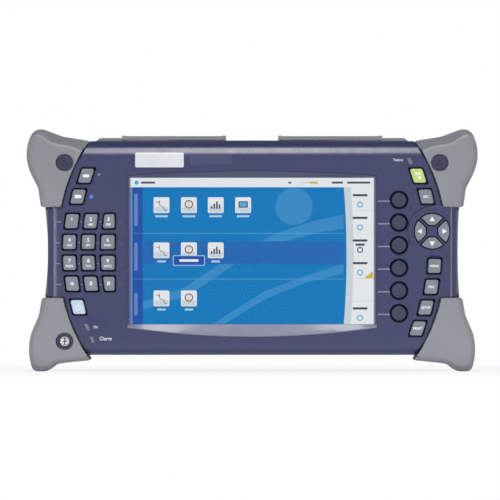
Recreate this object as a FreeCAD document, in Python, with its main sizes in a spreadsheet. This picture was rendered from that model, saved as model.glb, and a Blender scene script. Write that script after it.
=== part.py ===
"""Handheld optical time domain reflectometer: a display unit with corner bumpers, keypads, a prop stand,
two connector doors and a plug-in optical module.

Frame: +X to the right and +Z up as the user faces the screen, which looks along -Y.
The origin is on the surface that the bumpers stand on, under the middle of the unit. Millimetres.
"""

import FreeCAD, Part

import os
import re

import Sketcher
from FreeCAD import Placement, Rotation, Vector

# ---------------------------------------------------------------- driving sizes

SIZES = {
    # whole unit
    "overall_width": 322.8,
    "overall_height": 173.2,
    "overall_depth": 92.0,
    # case
    "body_width": 294.0,
    "body_bottom": 11.6,
    "body_top": 165.3,
    "crown": 0.7,
    "waist": 1.0,
    "corner_radius": 16.0,
    "top_round": 14.0,
    "bottom_round": 8.0,
    "side_round": 5.0,
    "back_round": 4.0,
    "least_round": 0.6,
    "face_depth": 44.0,
    "back_depth": 43.0,
    "parting_depth": 15.0,
    "case_wall": 2.5,
    "step_wall": 0.8,
    "rim_depth": 4.0,
    "fit": 0.3,
    # case fixings
    "post_diameter": 10.0,
    "fixing_x": 134.0,
    "fixing_top": 149.2,
    "fixing_low": 21.5,
    "screw_diameter": 4.0,
    "screw_head": 7.6,
    "screw_head_height": 2.4,
    "screw_length": 32.0,
    "short_screw_length": 9.0,
    "screw_play": 0.3,
    "slot_width": 1.2,
    "slot_depth": 1.0,
    "stud_x": 100.0,
    "stud_top": 151.5,
    "stud_low": 20.8,
    "stud_diameter": 7.0,
    # bumpers
    "bumper_recess": 3.0,
    "bumper_fit": 0.25,
    "bumper_inner_end": 116.5,
    "bumper_outer_end": 136.2,
    "bumper_end_height": 117.5,
    "bumper_corner_height": 164.9,
    "low_bumper_inner_end": 115.3,
    "low_bumper_outer_end": 134.9,
    "low_bumper_end_height": 52.6,
    "low_bumper_corner_height": 7.9,
    "bumper_edge_radius": 126.0,
    "bumper_round": 5.0,
    "low_bumper_bevel": 3.0,
    "bumper_hole": 12.0,
    "bumper_plug_fit": 0.15,
    "plug_thickness": 1.2,
    "plug_sink": 0.6,
    "foot_width": 5.0,
    "groove": 1.0,
    # seal between the two covers
    "seal_inset": 3.6,
    "seal_width": 1.3,
    "seal_height": 1.6,
    "seal_fit": 0.1,
    # display
    "screen_width": 174.2,
    "screen_height": 104.9,
    "screen_middle": 86.1,
    "frame_side": 2.0,
    "frame_rise": 4.6,
    "frame_drop": 8.8,
    "frame_end": 2.4,
    "frame_lip": 0.6,
    "frame_flange": 3.5,
    "frame_thickness": 2.5,
    "window_margin": 2.0,
    "window_thickness": 1.1,
    "panel_margin": 4.6,
    "glass_margin": 1.0,
    # boards and chassis
    "board_width": 277.0,
    "board_bottom": 25.0,
    "board_top": 146.5,
    "board_corner": 13.0,
    "board_thickness": 1.6,
    "key_board_depth": 34.8,
    "chassis_depth": 27.0,
    "chassis_thickness": 1.5,
    "chassis_width": 240.0,
    "chassis_bottom": 17.5,
    "chassis_top": 156.0,
    "main_board_depth": 12.0,
    "main_board_width": 236.0,
    "main_board_bottom": 42.0,
    "main_board_top": 146.0,
    # keys
    "key_width": 9.0,
    "key_height": 10.0,
    "key_pitch": 14.9,
    "key_corner": 1.4,
    "key_gap": 1.0,
    "key_flange": 0.7,
    "side_flange": 0.2,
    "key_flange_thickness": 1.0,
    "key_rise": 1.5,
    "key_crown": 0.7,
    "key_travel": 1.2,
    "plunger_diameter": 3.4,
    "key_arc_radius": 122.0,
    "key_lean_radius": 165.0,
    "key_arc_apex": 130.8,
    "key_arc_height": 85.6,
    "column_step": 13.5,
    "third_column_left": 9.2,
    "third_column_right": 98.3,
    "digit_top_row": 107.4,
    "function_row": 125.0,
    "power_row": 46.0,
    "lower_side_row": 75.4,
    "soft_key_diameter": 10.4,
    "soft_key_gap": 1.25,
    "soft_key_x": 105.0,
    "soft_key_top": 122.6,
    "soft_key_pitch": 16.2,
    "pad_x": 128.7,
    "pad_height": 100.2,
    "arrow_radius": 12.4,
    "arrow_inner": 4.4,
    "arrow_gap": 1.9,
    "arrow_well": 0.8,
    "arrow_flange": 0.4,
    "arrow_rise": 1.1,
    "pod_radius": 17.3,
    "pod_rise": 0.8,
    # silicone key mats
    "mat_thickness": 1.2,
    "mat_inner_edge": 94.6,
    "mat_outer_edge": 137.5,
    "collar_diameter": 7.0,
    "collar_bore": 4.6,
    "collar_play": 0.3,
    # status lamps
    "lamp_width": 2.6,
    "lamp_height": 4.6,
    "lamp_flange": 0.5,
    "lamp_fit": 0.1,
    "lamp_seat": 0.15,
    # connector bays and doors
    "bay_inner": 22.5,
    "bay_outer": 90.0,
    "bay_front": 12.5,
    "bay_back": 7.0,
    "bay_floor": 150.0,
    "bay_wall": 2.0,
    "door_inner": 18.8,
    "door_outer": 93.5,
    "door_front": 14.2,
    "door_thickness": 3.0,
    "door_gap": 0.3,
    "deck_height": 165.3,
    "door_axis_back": 10.0,
    "door_pin_diameter": 1.8,
    "door_pin_length": 2.2,
    "pin_play": 0.1,
    "ear_width": 3.0,
    "ear_diameter": 4.2,
    "shoulder_end": 113.0,
    "shoulder_height": 167.2,
    # connectors in the bays
    "jack_x": 62.0,
    "jack_width": 12.0,
    "jack_length": 13.0,
    "jack_bore": 6.0,
    "jack_bore_depth": 10.0,
    "jack_pin": 2.0,
    "stack_x": 50.0,
    "stack_width": 17.0,
    "stack_depth": 15.0,
    "stack_length": 22.0,
    "connector_proud": 1.0,
    # module bay and module
    "module_width": 213.0,
    "module_bottom": 38.5,
    "module_top": 163.0,
    "module_seat": 13.0,
    "module_wall": 2.0,
    "module_fit": 0.5,
    "module_round": 3.0,
    "module_board_back": 20.0,
    "module_board_width": 170.0,
    "module_board_bottom": 44.0,
    "module_board_top": 140.0,
    "plug_width": 34.0,
    "plug_height": 6.0,
    "plug_end": 2.0,
    "plug_middle": 100.0,
    "thumb_screw_x": 96.0,
    "thumb_screw_height": 52.0,
    "thumb_head": 9.6,
    "thumb_head_height": 3.0,
    "thumb_boss": 13.5,
    "thumb_tip": 6.0,
    "port_x": 62.0,
    "port_bay_width": 26.0,
    "port_bay_front": 18.0,
    "port_bay_back": 38.0,
    "port_bay_floor": 148.0,
    "port_flange": 13.0,
    "port_flange_height": 2.0,
    "barrel_diameter": 8.0,
    "barrel_height": 8.0,
    "ferrule_bore": 2.5,
    "cap_thickness": 2.4,
    "cap_play": 0.4,
    "cap_pin_length": 1.4,
    # battery
    "pack_width": 195.0,
    "pack_height": 21.3,
    "pack_front": 0.0,
    "pack_back": 34.7,
    # prop stand
    "stand_x": 113.3,
    "stand_bar": 6.0,
    "stand_thickness": 5.4,
    "stand_axis_height": 112.0,
    "stand_foot": 20.0,
    "stand_play": 0.8,
    "stand_recess": 37.0,
    "stand_pin_diameter": 3.6,
    "stand_pin_length": 3.0,
    # loudspeaker
    "speaker_diameter": 17.0,
    "speaker_rim": 3.0,
    "speaker_magnet": 12.0,
    "speaker_magnet_depth": 3.5,
    "speaker_x": 131.3,
    "speaker_height": 86.0,
    "grille_slot": 1.8,
    "grille_pitch": 3.4,
}

DOC = FreeCAD.newDocument("reflectometer")
SHEET = DOC.addObject("Spreadsheet::Sheet", "Sizes")
for row, (alias, number) in enumerate(SIZES.items(), 1):
    SHEET.set(f"A{row}", alias)
    SHEET.set(f"B{row}", str(number))
    SHEET.setAlias(f"B{row}", alias)
DOC.recompute()

WORD = re.compile(r"[a-z_]+")
FRONT = Rotation(Vector(1, 0, 0), 90)  # sketch x, y are X, Z and the sketch faces -Y
SIDE = Rotation(Vector(1, 1, 1), 120)  # sketch x, y are Y, Z and the sketch faces +X
PLAN = Rotation()  # sketch x, y are X, Y and the sketch faces +Z
PLANE_OF = {"front": "XZ_Plane", "side": "YZ_Plane", "plan": "XY_Plane"}
TURN_OF = {"front": FRONT, "side": SIDE, "plan": PLAN}
SUB_PARTS = []

# ---------------------------------------------------------------- helpers


def linked(text):
    """An expression with each size name written as a cell of the sheet."""
    return WORD.sub(lambda word: f"Sizes.{word[0]}" if word[0] in SIZES else word[0], str(text))


def amount(text):
    """The number that an expression gives now."""
    return float(SHEET.evalExpression(linked(text)))


def bind(thing, name, text):
    """Ties one property of a document object to an expression."""
    thing.setExpression(name, linked(text))


def hold(sketch, kind, geometry, point, text):
    """Adds one dimension from the sketch's origin, tied to an expression."""
    index = sketch.addConstraint(Sketcher.Constraint(kind, -1, 1, geometry, point, amount(text)))
    bind(sketch, f"Constraints[{index}]", text)


def hold_radius(sketch, geometry, text):
    """Ties the radius of an arc or a circle to an expression."""
    index = sketch.addConstraint(Sketcher.Constraint("Radius", geometry, amount(text)))
    bind(sketch, f"Constraints[{index}]", text)


def arc_middle(start, end, radius, side):
    """The middle point of an arc between two points; it bulges to the left of the way for side 1."""
    chord = end - start
    half = chord.Length / 2
    rise = radius - max(radius**2 - half**2, 0) ** 0.5
    left = Vector(-chord.y, chord.x, 0).normalize()
    return (start + end) * 0.5 + left * rise * side


def add_loop(sketch, corners):
    """Draws one closed loop. A corner is (x, y), or (x, y, radius, side) where an arc runs to the next."""
    spots = [Vector(amount(c[0]), amount(c[1]), 0) for c in corners]
    ends = []
    for number, corner in enumerate(corners):
        start, end = spots[number], spots[(number + 1) % len(spots)]
        if len(corner) == 2:
            geometry = sketch.addGeometry(Part.LineSegment(start, end), False)
        else:
            middle = arc_middle(start, end, amount(corner[2]), corner[3])
            geometry = sketch.addGeometry(Part.Arc(start, middle, end), False)
            hold_radius(sketch, geometry, corner[2])
        first = 1 if sketch.getPoint(geometry, 1).distanceToPoint(start) < 1e-6 else 2
        ends.append((geometry, first, 3 - first))
    for number, corner in enumerate(corners):
        geometry, first, _ = ends[number]
        before, _, last = ends[number - 1]
        sketch.addConstraint(Sketcher.Constraint("Coincident", before, last, geometry, first))
        hold(sketch, "DistanceX", geometry, first, corner[0])
        hold(sketch, "DistanceY", geometry, first, corner[1])


def add_circle(sketch, x, y, radius):
    """Draws one circle."""
    centre = Vector(amount(x), amount(y), 0)
    geometry = sketch.addGeometry(Part.Circle(centre, Vector(0, 0, 1), amount(radius)), False)
    hold(sketch, "DistanceX", geometry, 3, x)
    hold(sketch, "DistanceY", geometry, 3, y)
    hold_radius(sketch, geometry, radius)


def draw(sketch, loops):
    """Draws loops: a list of corners each, or ("circle", x, y, radius)."""
    for loop in loops:
        if loop[0] == "circle":
            add_circle(sketch, *loop[1:])
        else:
            add_loop(sketch, loop)


def rectangle(left, bottom, right, top):
    """The corners of a rectangle."""
    return [(left, bottom), (right, bottom), (right, top), (left, top)]


def disc(x, y, diameter):
    """A circle of a given diameter."""
    return ("circle", x, y, f"({diameter})/2")


# ------- free sketches, extruded and cut in the Part way


def flat_sketch(name, loops, view, at):
    """A sketch that lies across the view's own direction, at a distance along it."""
    sketch = DOC.addObject("Sketcher::SketchObject", name)
    sketch.Placement = Placement(Vector(), TURN_OF[view])
    axis = {"front": "y", "side": "x", "plan": "z"}[view]
    bind(sketch, f"Placement.Base.{axis}", at)
    draw(sketch, loops)
    return sketch


def prism(name, loops, view, start, end):
    """A solid between two distances along the view's axis: Y for front, X for side and Z for plan."""
    base, length = (end, f"({end}) - ({start})") if view == "front" else (start, f"({end}) - ({start})")
    solid = DOC.addObject("Part::Extrusion", name)
    solid.Base = flat_sketch(f"{name}_outline", loops, view, base)
    solid.DirMode = "Normal"
    solid.Solid = True
    bind(solid, "LengthFwd", length)
    return solid


def block(name, low, high):
    """A box between two corners."""
    box = DOC.addObject("Part::Box", name)
    for axis, side, first, last in zip("xyz", ("Length", "Width", "Height"), low, high):
        bind(box, f"Placement.Base.{axis}", first)
        bind(box, side, f"({last}) - ({first})")
    return box


def rod(name, diameter, low, length, axis):
    """A cylinder from a point along an axis: x, y (towards the back) or z."""
    cylinder = DOC.addObject("Part::Cylinder", name)
    turn = {"x": Rotation(Vector(0, 1, 0), 90), "y": Rotation(Vector(1, 0, 0), -90), "z": Rotation()}[axis]
    cylinder.Placement = Placement(Vector(), turn)
    bind(cylinder, "Radius", f"({diameter})/2")
    bind(cylinder, "Height", length)
    for letter, text in zip("xyz", low):
        bind(cylinder, f"Placement.Base.{letter}", text)
    return cylinder


def joined(name, *solids):
    """The union of solids."""
    union = DOC.addObject("Part::MultiFuse", name)
    union.Shapes = list(solids)
    union.Refine = True
    return union


def shared(name, *solids):
    """What solids have in common."""
    common = DOC.addObject("Part::MultiCommon", name)
    common.Shapes = list(solids)
    return common


def cut(name, base, tool):
    """The base without the tool."""
    rest = DOC.addObject("Part::Cut", name)
    rest.Base = base
    rest.Tool = tool
    rest.Refine = True
    return rest


def group(name, *solids):
    """Separate solids kept together as one sub-part."""
    bundle = DOC.addObject("Part::Compound", name)
    bundle.Links = list(solids)
    return bundle


# ------- bodies, made the PartDesign way


def new_body(name):
    """An empty body."""
    return DOC.addObject("PartDesign::Body", name)


def body_sketch(body, name, loops, view, at):
    """A sketch on one of the body's own origin planes, moved along Y, X or Z to the distance given."""
    sketch = body.newObject("Sketcher::SketchObject", name)
    plane = next(f for f in body.Origin.OriginFeatures if f.Role == PLANE_OF[view])
    sketch.AttachmentSupport = [(plane, "")]
    sketch.MapMode = "FlatFace"
    bind(sketch, "AttachmentOffset.Base.z", f"-({at})" if view == "front" else at)
    draw(sketch, loops)
    return sketch


def pad(body, name, loops, view, start, end):
    """Adds material between two distances along Y (front), X (side) or Z (plan)."""
    feature = body.newObject("PartDesign::Pad", f"{body.Name}_{name}")
    base = end if view == "front" else start
    feature.Profile = body_sketch(body, f"{body.Name}_{name}_sketch", loops, view, base)
    bind(feature, "Length", f"({end}) - ({start})")
    DOC.recompute()
    return feature


def pocket(body, name, loops, view, start, end):
    """Takes material away between two distances along Y (front), X (side) or Z (plan)."""
    feature = body.newObject("PartDesign::Pocket", f"{body.Name}_{name}")
    base = end if view == "front" else start
    feature.Profile = body_sketch(body, f"{body.Name}_{name}_sketch", loops, view, base)
    feature.Reversed = True
    bind(feature, "Length", f"({end}) - ({start})")
    DOC.recompute()
    return feature


def rounded(body, name, radius, wanted, kind="Fillet"):
    """Rounds (or bevels, as a Chamfer) the edges of the body so far for which wanted(edge) is true."""
    base = body.Tip
    edges = [f"Edge{n}" for n, edge in enumerate(base.Shape.Edges, 1) if wanted(edge)]
    feature = body.newObject(f"PartDesign::{kind}", f"{body.Name}_{name}")
    feature.Base = (base, edges)
    bind(feature, "Radius" if kind == "Fillet" else "Size", radius)
    DOC.recompute()
    return feature


def runs_along(edge, axis):
    """True for an edge that lies along X, Y or Z."""
    box = edge.BoundBox
    spans = {"x": box.XLength, "y": box.YLength, "z": box.ZLength}
    longest = spans.pop(axis)
    return longest > 1e-6 and max(spans.values()) < 1e-6


def at_y(edge, y):
    """True for an edge that lies wholly at one Y."""
    return abs(edge.BoundBox.YMin - y) < 1e-5 and abs(edge.BoundBox.YMax - y) < 1e-5


def sub_part(thing, label):
    """Names a finished sub-part."""
    thing.Label = label
    SUB_PARTS.append(thing)
    return thing


# ---------------------------------------------------------------- case outline

HALF = "body_width/2"
FLANGE_FRONT = "(-face_depth + case_wall + fit)"


def case_outline(inset):
    """The case seen from the front, drawn in by an inset: waisted sides and a crowned top."""
    side_x = f"({HALF} - {inset})"
    corner_x = f"({HALF} - corner_radius)"
    low, high = f"(body_bottom + {inset})", f"(body_top - crown - {inset})"
    low_corner, high_corner = "(body_bottom + corner_radius)", "(body_top - crown - corner_radius)"
    corner = f"(corner_radius - {inset})"
    side_half = f"({high_corner} - {low_corner})/2"
    side_radius = f"(({side_half})^2 + waist^2)/(2*waist)"
    crown_radius = f"({corner_x}^2 + crown^2)/(2*crown)"
    return [
        (f"-{corner_x}", low),
        (corner_x, low, corner, -1),
        (side_x, low_corner, side_radius, 1),
        (side_x, high_corner, corner, -1),
        (corner_x, high, crown_radius, -1),
        (f"-{corner_x}", high, corner, -1),
        (f"-{side_x}", high_corner, side_radius, 1),
        (f"-{side_x}", low_corner, corner, -1),
    ]


def case_profile(inset):
    """The case seen from the right side: deep round along the top of the face, smaller ones elsewhere."""
    front, back = f"(-face_depth + {inset})", f"(back_depth - {inset})"
    low, high = f"(body_bottom + {inset})", f"(body_top - {inset})"
    top, bottom = f"max(top_round - {inset}; least_round)", f"max(bottom_round - {inset}; least_round)"
    rear = f"max(back_round - {inset}; least_round)"
    return [
        (f"{front} + {bottom}", low),
        (f"{back} - {rear}", low, rear, -1),
        (back, f"{low} + {rear}"),
        (back, f"{high} - {rear}", rear, -1),
        (f"{back} - {rear}", high),
        (f"{front} + {top}", high, top, -1),
        (front, f"{high} - {top}"),
        (front, f"{low} + {bottom}", bottom, -1),
    ]


def case_plan(inset):
    """The case seen from above."""
    front, back = f"(-face_depth + {inset})", f"(back_depth - {inset})"
    side = f"({HALF} - {inset})"
    near, rear = f"max(side_round - {inset}; least_round)", f"max(back_round - {inset}; least_round)"
    return [
        (f"-({side} - {near})", front),
        (f"{side} - {near}", front, near, -1),
        (side, f"{front} + {near}"),
        (side, f"{back} - {rear}", rear, -1),
        (f"{side} - {rear}", back),
        (f"-({side} - {rear})", back, rear, -1),
        (f"-{side}", f"{back} - {rear}"),
        (f"-{side}", f"{front} + {near}", near, -1),
    ]


def case_solid(name, inset):
    """The whole case as one solid, drawn in by an inset on every face."""
    outline = prism(f"{name}_outline", [case_outline(inset)], "front", "-overall_depth", "overall_depth")
    profile = prism(f"{name}_profile", [case_profile(inset)], "side", "-overall_width", "overall_width")
    plan = prism(f"{name}_plan", [case_plan(inset)], "plan", "-overall_height", "2*overall_height")
    return shared(name, outline, profile, plan)


def bumper_ends(upright):
    """The inner end, outer end, end height and corner height of an upper (1) or lower (-1) bumper."""
    low = "" if upright > 0 else "low_"
    return tuple(f"{low}bumper_{size}" for size in ("inner_end", "outer_end", "end_height", "corner_height"))


def bumper_zone(side, upright, spread):
    """The corner that a bumper covers, seen from the front; side and upright are 1 or -1."""
    inner, outer, end, corner = bumper_ends(upright)
    inner, outer = f"{side}*({inner} - groove - {spread})", f"{side}*({outer} - groove - {spread})"
    end = f"{end} - {upright}*(groove + {spread})"
    far_x = f"{side}*overall_width"
    far_z = "2*overall_height" if upright > 0 else "-overall_height"
    return [
        (inner, far_z),
        (inner, corner, "bumper_edge_radius", side * upright),
        (outer, end),
        (far_x, end),
        (far_x, far_z),
    ]


def bumper_zones(name, spread):
    """All four corners, cut straight through the depth."""
    loops = [bumper_zone(side, upright, spread) for side in (-1, 1) for upright in (-1, 1)]
    return prism(name, loops, "front", "-overall_depth", "overall_depth")


def make_case():
    """The shells that both covers are parted from: outer form, cavity, and the core that bumpers wrap."""
    full = case_solid("full_form", "0")
    core = case_solid("core_form", "bumper_recess")
    hollow = case_solid("hollow_form", "case_wall")
    deep_hollow = case_solid("deep_hollow_form", "(case_wall + bumper_recess)")
    recess = cut("bumper_recesses", bumper_zones("bumper_corners", "0"), core)
    outer = cut("outer_form", full, recess)
    middle_hollow = cut("middle_hollow", hollow, bumper_zones("corner_walls", "step_wall"))
    near_rim = block(
        "rim_band",
        ("-overall_width", "-parting_depth - rim_depth", "0"),
        ("overall_width", "-parting_depth + rim_depth", "2*overall_height"),
    )
    cavity = joined("cavity_form", deep_hollow, cut("wide_hollow", middle_hollow, near_rim))
    return outer, cavity, case_solid("bumper_core", "(bumper_recess - bumper_fit)"), full


# ---------------------------------------------------------------- keys


def key_x(height, column):
    """The middle of a key on the arc that the key columns follow, on the left for column 0 and 1."""
    arc = f"(key_arc_apex - ({height} - key_arc_height)^2/(2*key_arc_radius))"
    return f"(column*column_step - {arc})".replace("column*", f"{column}*")


def four_sided(left, right, height, left_lean, right_lean, across, along):
    """The corners of a key with leaning sides, grown across and along the column."""
    rise = f"(key_height/2 + {along})"
    up, down = f"({height} + {rise})", f"({height} - {rise})"
    return [
        (f"{left} - {across} - {left_lean}*{rise}", down),
        (f"{right} + {across} - {right_lean}*{rise}", down),
        (f"{right} + {across} + {right_lean}*{rise}", up),
        (f"{left} - {across} + {left_lean}*{rise}", up),
    ]


def lean_at(height):
    """How far a key side leans at a height, as a slope."""
    return f"(({height} - key_arc_height)/key_lean_radius)"


def leaning_key(height, column, side, across, along):
    """A key on the arc, on the left side (-1) or mirrored to the right (1)."""
    middle, lean = key_x(height, column), lean_at(height)
    left, right = f"({middle} - key_width/2)", f"({middle} + key_width/2)"
    if side > 0:
        left, right, lean = f"(-1*{right})", f"(-1*{left})", f"(-1*{lean})"
    return four_sided(left, right, height, lean, lean, across, along)


def third_column_key(height, across, along):
    """A key of the third column: its left side follows the arc and its right side is upright."""
    left = f"({key_x(height, 1)} + third_column_left)"
    return four_sided(left, "(-third_column_right)", height, lean_at(height), "0", across, along)


def arrow_key(turns, grow):
    """One petal of the direction pad, turned by quarter turns; 0 points up."""
    radius, inner = f"(arrow_radius + {grow})", f"(arrow_inner - {grow})"
    gap = f"(arrow_gap - {grow}*sqrt(2))"
    tip = f"(({gap} + sqrt(2*{radius}^2 - {gap}^2))/2)"
    corners = [
        (f"(-1*({inner} - {gap}))", inner),
        (f"({inner} - {gap})", inner),
        (f"({tip} - {gap})", tip),
        (f"(-1*({tip} - {gap}))", tip),
    ]
    spots = []
    for across, up in corners:
        for _ in range(turns):
            across, up = f"(-1*{up})", across
        spots.append((f"pad_x + {across}", f"pad_height + {up}"))
    spots[2] = (*spots[2], radius, -1)
    return spots


DIGIT_NAMES = [f"digit_{number}" for number in range(1, 10)] + ["star_key", "digit_0", "hash_key"]
KEYS = {}
for number, name in enumerate(DIGIT_NAMES):
    row_height = f"(digit_top_row - {number // 3}*key_pitch)"
    if number % 3 < 2:
        KEYS[name] = ("leaning", row_height, number % 3, -1)
    else:
        KEYS[name] = ("third", row_height)
KEYS["function_key_1"] = ("leaning", "(function_row + key_pitch)", 0, -1)
KEYS["function_key_2"] = ("leaning", "function_row", 0, -1)
KEYS["power_key"] = ("leaning", "power_row", 0, -1)
KEYS["start_key"] = ("leaning", "(function_row + key_pitch)", 0, 1)
KEYS["side_key_1"] = ("leaning", "function_row", 0, 1)
for number in range(4):
    KEYS[f"side_key_{number + 2}"] = ("leaning", f"(lower_side_row - {number}*key_pitch)", 0, 1)
for number in range(6):
    KEYS[f"soft_key_{number + 1}"] = ("soft", f"(soft_key_top - {number}*soft_key_pitch)")
for turns, name in enumerate(("up", "left", "down", "right")):
    KEYS[f"arrow_{name}"] = ("arrow", turns)


def key_loop(kind, place, across, along):
    """The outline of one key, grown across and along its column."""
    if kind == "leaning":
        height, column, side = place
        return leaning_key(height, column, side, across, along)
    if kind == "third":
        return third_column_key(place[0], across, along)
    if kind == "arrow":
        return arrow_key(place[0], along)
    return ("circle", "soft_key_x", place[0], f"(soft_key_diameter/2 + {along})")


def key_middle(kind, place):
    """Where a key's plunger stands."""
    if kind == "leaning":
        height, column, side = place
        middle = key_x(height, column)
        return (middle if side < 0 else f"(-1*{middle})"), height
    if kind == "third":
        left = f"({key_x(place[0], 1)} + third_column_left)"
        return f"(({left} - third_column_right)/2)", place[0]
    if kind == "arrow":
        reach = "((arrow_inner + arrow_radius)/2)"
        across, up = [("0", reach), (f"(-1*{reach})", "0"), ("0", f"(-1*{reach})"), (reach, "0")][place[0]]
        return f"(pad_x + {across})", f"(pad_height + {up})"
    return "soft_key_x", place[0]


def well_gap(kind):
    """The gap between a key and the edge of its well."""
    return {"soft": "soft_key_gap", "arrow": "arrow_well"}.get(kind, "key_gap")


def key_flange(kind):
    """How far the flange behind the cover stands out from the key, across and along the column."""
    along = "arrow_flange" if kind == "arrow" else "key_flange"
    return f"({well_gap(kind)} + side_flange)", f"({well_gap(kind)} + {along})"


FLANGE_BACK = f"({FLANGE_FRONT} + key_flange_thickness)"
MAT_FRONT = "(-key_board_depth - mat_thickness)"
PLUNGER_END = f"({MAT_FRONT} - key_travel - collar_play)"


def make_key(name, kind, *place):
    """A hard key cap on a flange that the cover holds back, with a plunger over the mat."""
    body = new_body(name)
    rise = "(pod_rise + arrow_rise)" if kind == "arrow" else "key_rise"
    top = f"(-face_depth - {rise})"
    pad(body, "cap", [key_loop(kind, place, "0", "0")], "front", top, FLANGE_BACK)
    if kind != "soft":
        corner = "key_corner/2" if kind == "arrow" else "key_corner"
        rounded(body, "corners", corner, lambda edge: runs_along(edge, "y"))
    front = amount(top)
    rounded(body, "crown", "key_crown", lambda edge: at_y(edge, front))
    pad(body, "flange", [key_loop(kind, place, *key_flange(kind))], "front", FLANGE_FRONT, FLANGE_BACK)
    x, height = key_middle(kind, place)
    pad(body, "plunger", [disc(x, height, "plunger_diameter")], "front", FLANGE_FRONT, PLUNGER_END)
    return sub_part(body, name)


def make_key_mats():
    """Two silicone mats with a collar round each plunger."""
    mats = []
    for name, side in (("left", -1), ("right", 1)):
        mat = new_body(f"{name}_mat")
        inner, outer = f"{side}*mat_inner_edge", f"{side}*mat_outer_edge"
        shy = f"{side}*(mat_outer_edge - board_corner)"
        low, high = "(board_bottom + fit)", "(board_top - fit)"
        sheet = [
            (inner, low),
            (shy, low),
            (outer, f"{low} + board_corner"),
            (outer, f"{high} - board_corner"),
            (shy, high),
            (inner, high),
        ]
        pad(mat, "sheet", [sheet], "front", MAT_FRONT, "-key_board_depth")
        places = [key_middle(k, p) for k, *p in KEYS.values()]
        places = [p for p in places if amount(p[0]) * side > 0]
        collar_top = f"({FLANGE_BACK} + key_travel + collar_play)"
        rings = [disc(x, z, "collar_diameter") for x, z in places]
        rings += [disc(x, z, "collar_bore") for x, z in places]
        pad(mat, "collars", rings, "front", collar_top, MAT_FRONT)
        mats.append(mat)
    return sub_part(group("mats", *mats), "key_mats")


# ---------------------------------------------------------------- display

SCREEN_LOW = "(screen_middle - screen_height/2)"
SCREEN_HIGH = "(screen_middle + screen_height/2)"
FRAME_X = "(screen_width/2 + frame_side)"


def frame_outline(grow):
    """The display frame seen from the front: straight sides, a crescent above and a deeper one below."""
    side = f"({FRAME_X} + {grow})"
    low = f"({SCREEN_LOW} - frame_end - {grow})"
    high = f"({SCREEN_HIGH} + 0.5*frame_end + {grow})"
    drop, rise = "(frame_drop - frame_end)", "(frame_rise - 0.5*frame_end)"
    low_radius = f"(({side}^2 + {drop}^2)/(2*{drop}))"
    high_radius = f"(({side}^2 + {rise}^2)/(2*{rise}))"
    return [
        (f"-{side}", low, low_radius, -1),
        (side, low),
        (side, high, high_radius, -1),
        (f"-{side}", high),
    ]


FRAME_BACK = "(-face_depth + case_wall + fit + frame_thickness)"
WINDOW_FRONT = "(-face_depth + case_wall)"
WINDOW_BACK = "(-face_depth + case_wall + window_thickness)"


def screen_rectangle(grow):
    """The visible part of the screen, grown on every side."""
    return rectangle(
        f"-(screen_width/2 + {grow})",
        f"{SCREEN_LOW} - {grow}",
        f"screen_width/2 + {grow}",
        f"{SCREEN_HIGH} + {grow}",
    )


def make_display_frame():
    """The frame round the screen: a flange behind the cover and sides that slope down to the window."""
    frame = new_body("frame")
    pad(frame, "face", [frame_outline("0")], "front", "-face_depth", FRAME_BACK)
    flange = rectangle(
        f"-({FRAME_X} + frame_flange)",
        f"{SCREEN_LOW} - frame_drop - frame_flange",
        f"{FRAME_X} + frame_flange",
        f"{SCREEN_HIGH} + frame_rise + frame_flange",
    )
    pad(frame, "flange", [flange], "front", FLANGE_FRONT, FRAME_BACK)
    seat = screen_rectangle("(window_margin + fit)")
    pocket(frame, "seat", [seat], "front", WINDOW_FRONT, FRAME_BACK)
    wide = body_sketch(frame, "funnel_wide_end", [frame_outline("-frame_lip")], "front", "-face_depth")
    narrow = body_sketch(frame, "funnel_narrow_end", [screen_rectangle("0")], "front", WINDOW_FRONT)
    funnel = frame.newObject("PartDesign::SubtractiveLoft", "frame_funnel")
    funnel.Profile = wide
    funnel.Sections = [narrow]
    funnel.Ruled = True
    DOC.recompute()
    return sub_part(frame, "display_frame")


def make_touch_window():
    """The pane in front of the screen, on the frame's inner ledge."""
    window = new_body("window")
    pad(window, "pane", [screen_rectangle("window_margin")], "front", WINDOW_FRONT, WINDOW_BACK)
    return sub_part(window, "touch_window")


def make_lcd_panel():
    """The display panel: its glass stands into the frame and its tray lies on the key board."""
    panel = new_body("panel")
    tray_front = f"({FRAME_BACK} + fit)"
    pad(panel, "tray", [screen_rectangle("panel_margin")], "front", tray_front, "-key_board_depth")
    glass_front = f"({WINDOW_BACK} + fit)"
    pad(panel, "glass", [screen_rectangle("glass_margin")], "front", glass_front, tray_front)
    return sub_part(panel, "lcd_panel")


# ---------------------------------------------------------------- bumpers

def tangent_radius(along, off):
    """The radius of an arc that leaves a straight line and is `off` away from it after `along`."""
    return f"(({along})^2 + ({off})^2)/(2*({off}))"


def mirrored(corners, side):
    """The same loop on the right (1) or mirrored to the left (-1)."""
    if side > 0:
        return corners
    return [(f"-1*({c[0]})", *c[1:3], *(-turn for turn in c[3:])) for c in corners]


def upper_bumper_outline(side):
    """The upper corner seen from the front: a lobe that stands out above and beside the case."""
    inner, outer, end, corner = bumper_ends(1)
    wide, high = "overall_width/2", "overall_height"
    corners = [
        (inner, corner, "bumper_edge_radius", 1),
        (outer, end),
        (f"{wide} - 10.3", end),
        (f"{wide} - 8.4", f"{high} - 42.3"),
        (f"{wide} - 3.5", f"{high} - 32.8", tangent_radius("15.3", "3.5"), -1),
        (wide, f"{high} - 17.5", tangent_radius("14.6", "3.9"), -1),
        (f"{wide} - 3.9", f"{high} - 2.9", tangent_radius("6.5", "2.9"), -1),
        (f"{wide} - 10.4", high, tangent_radius("3.7", "0.8"), -1),
        (f"{wide} - 14.1", f"{high} - 0.8"),
        (f"{wide} - 26.1", f"{high} - 5.3"),
    ]
    return mirrored(corners, side)


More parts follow.
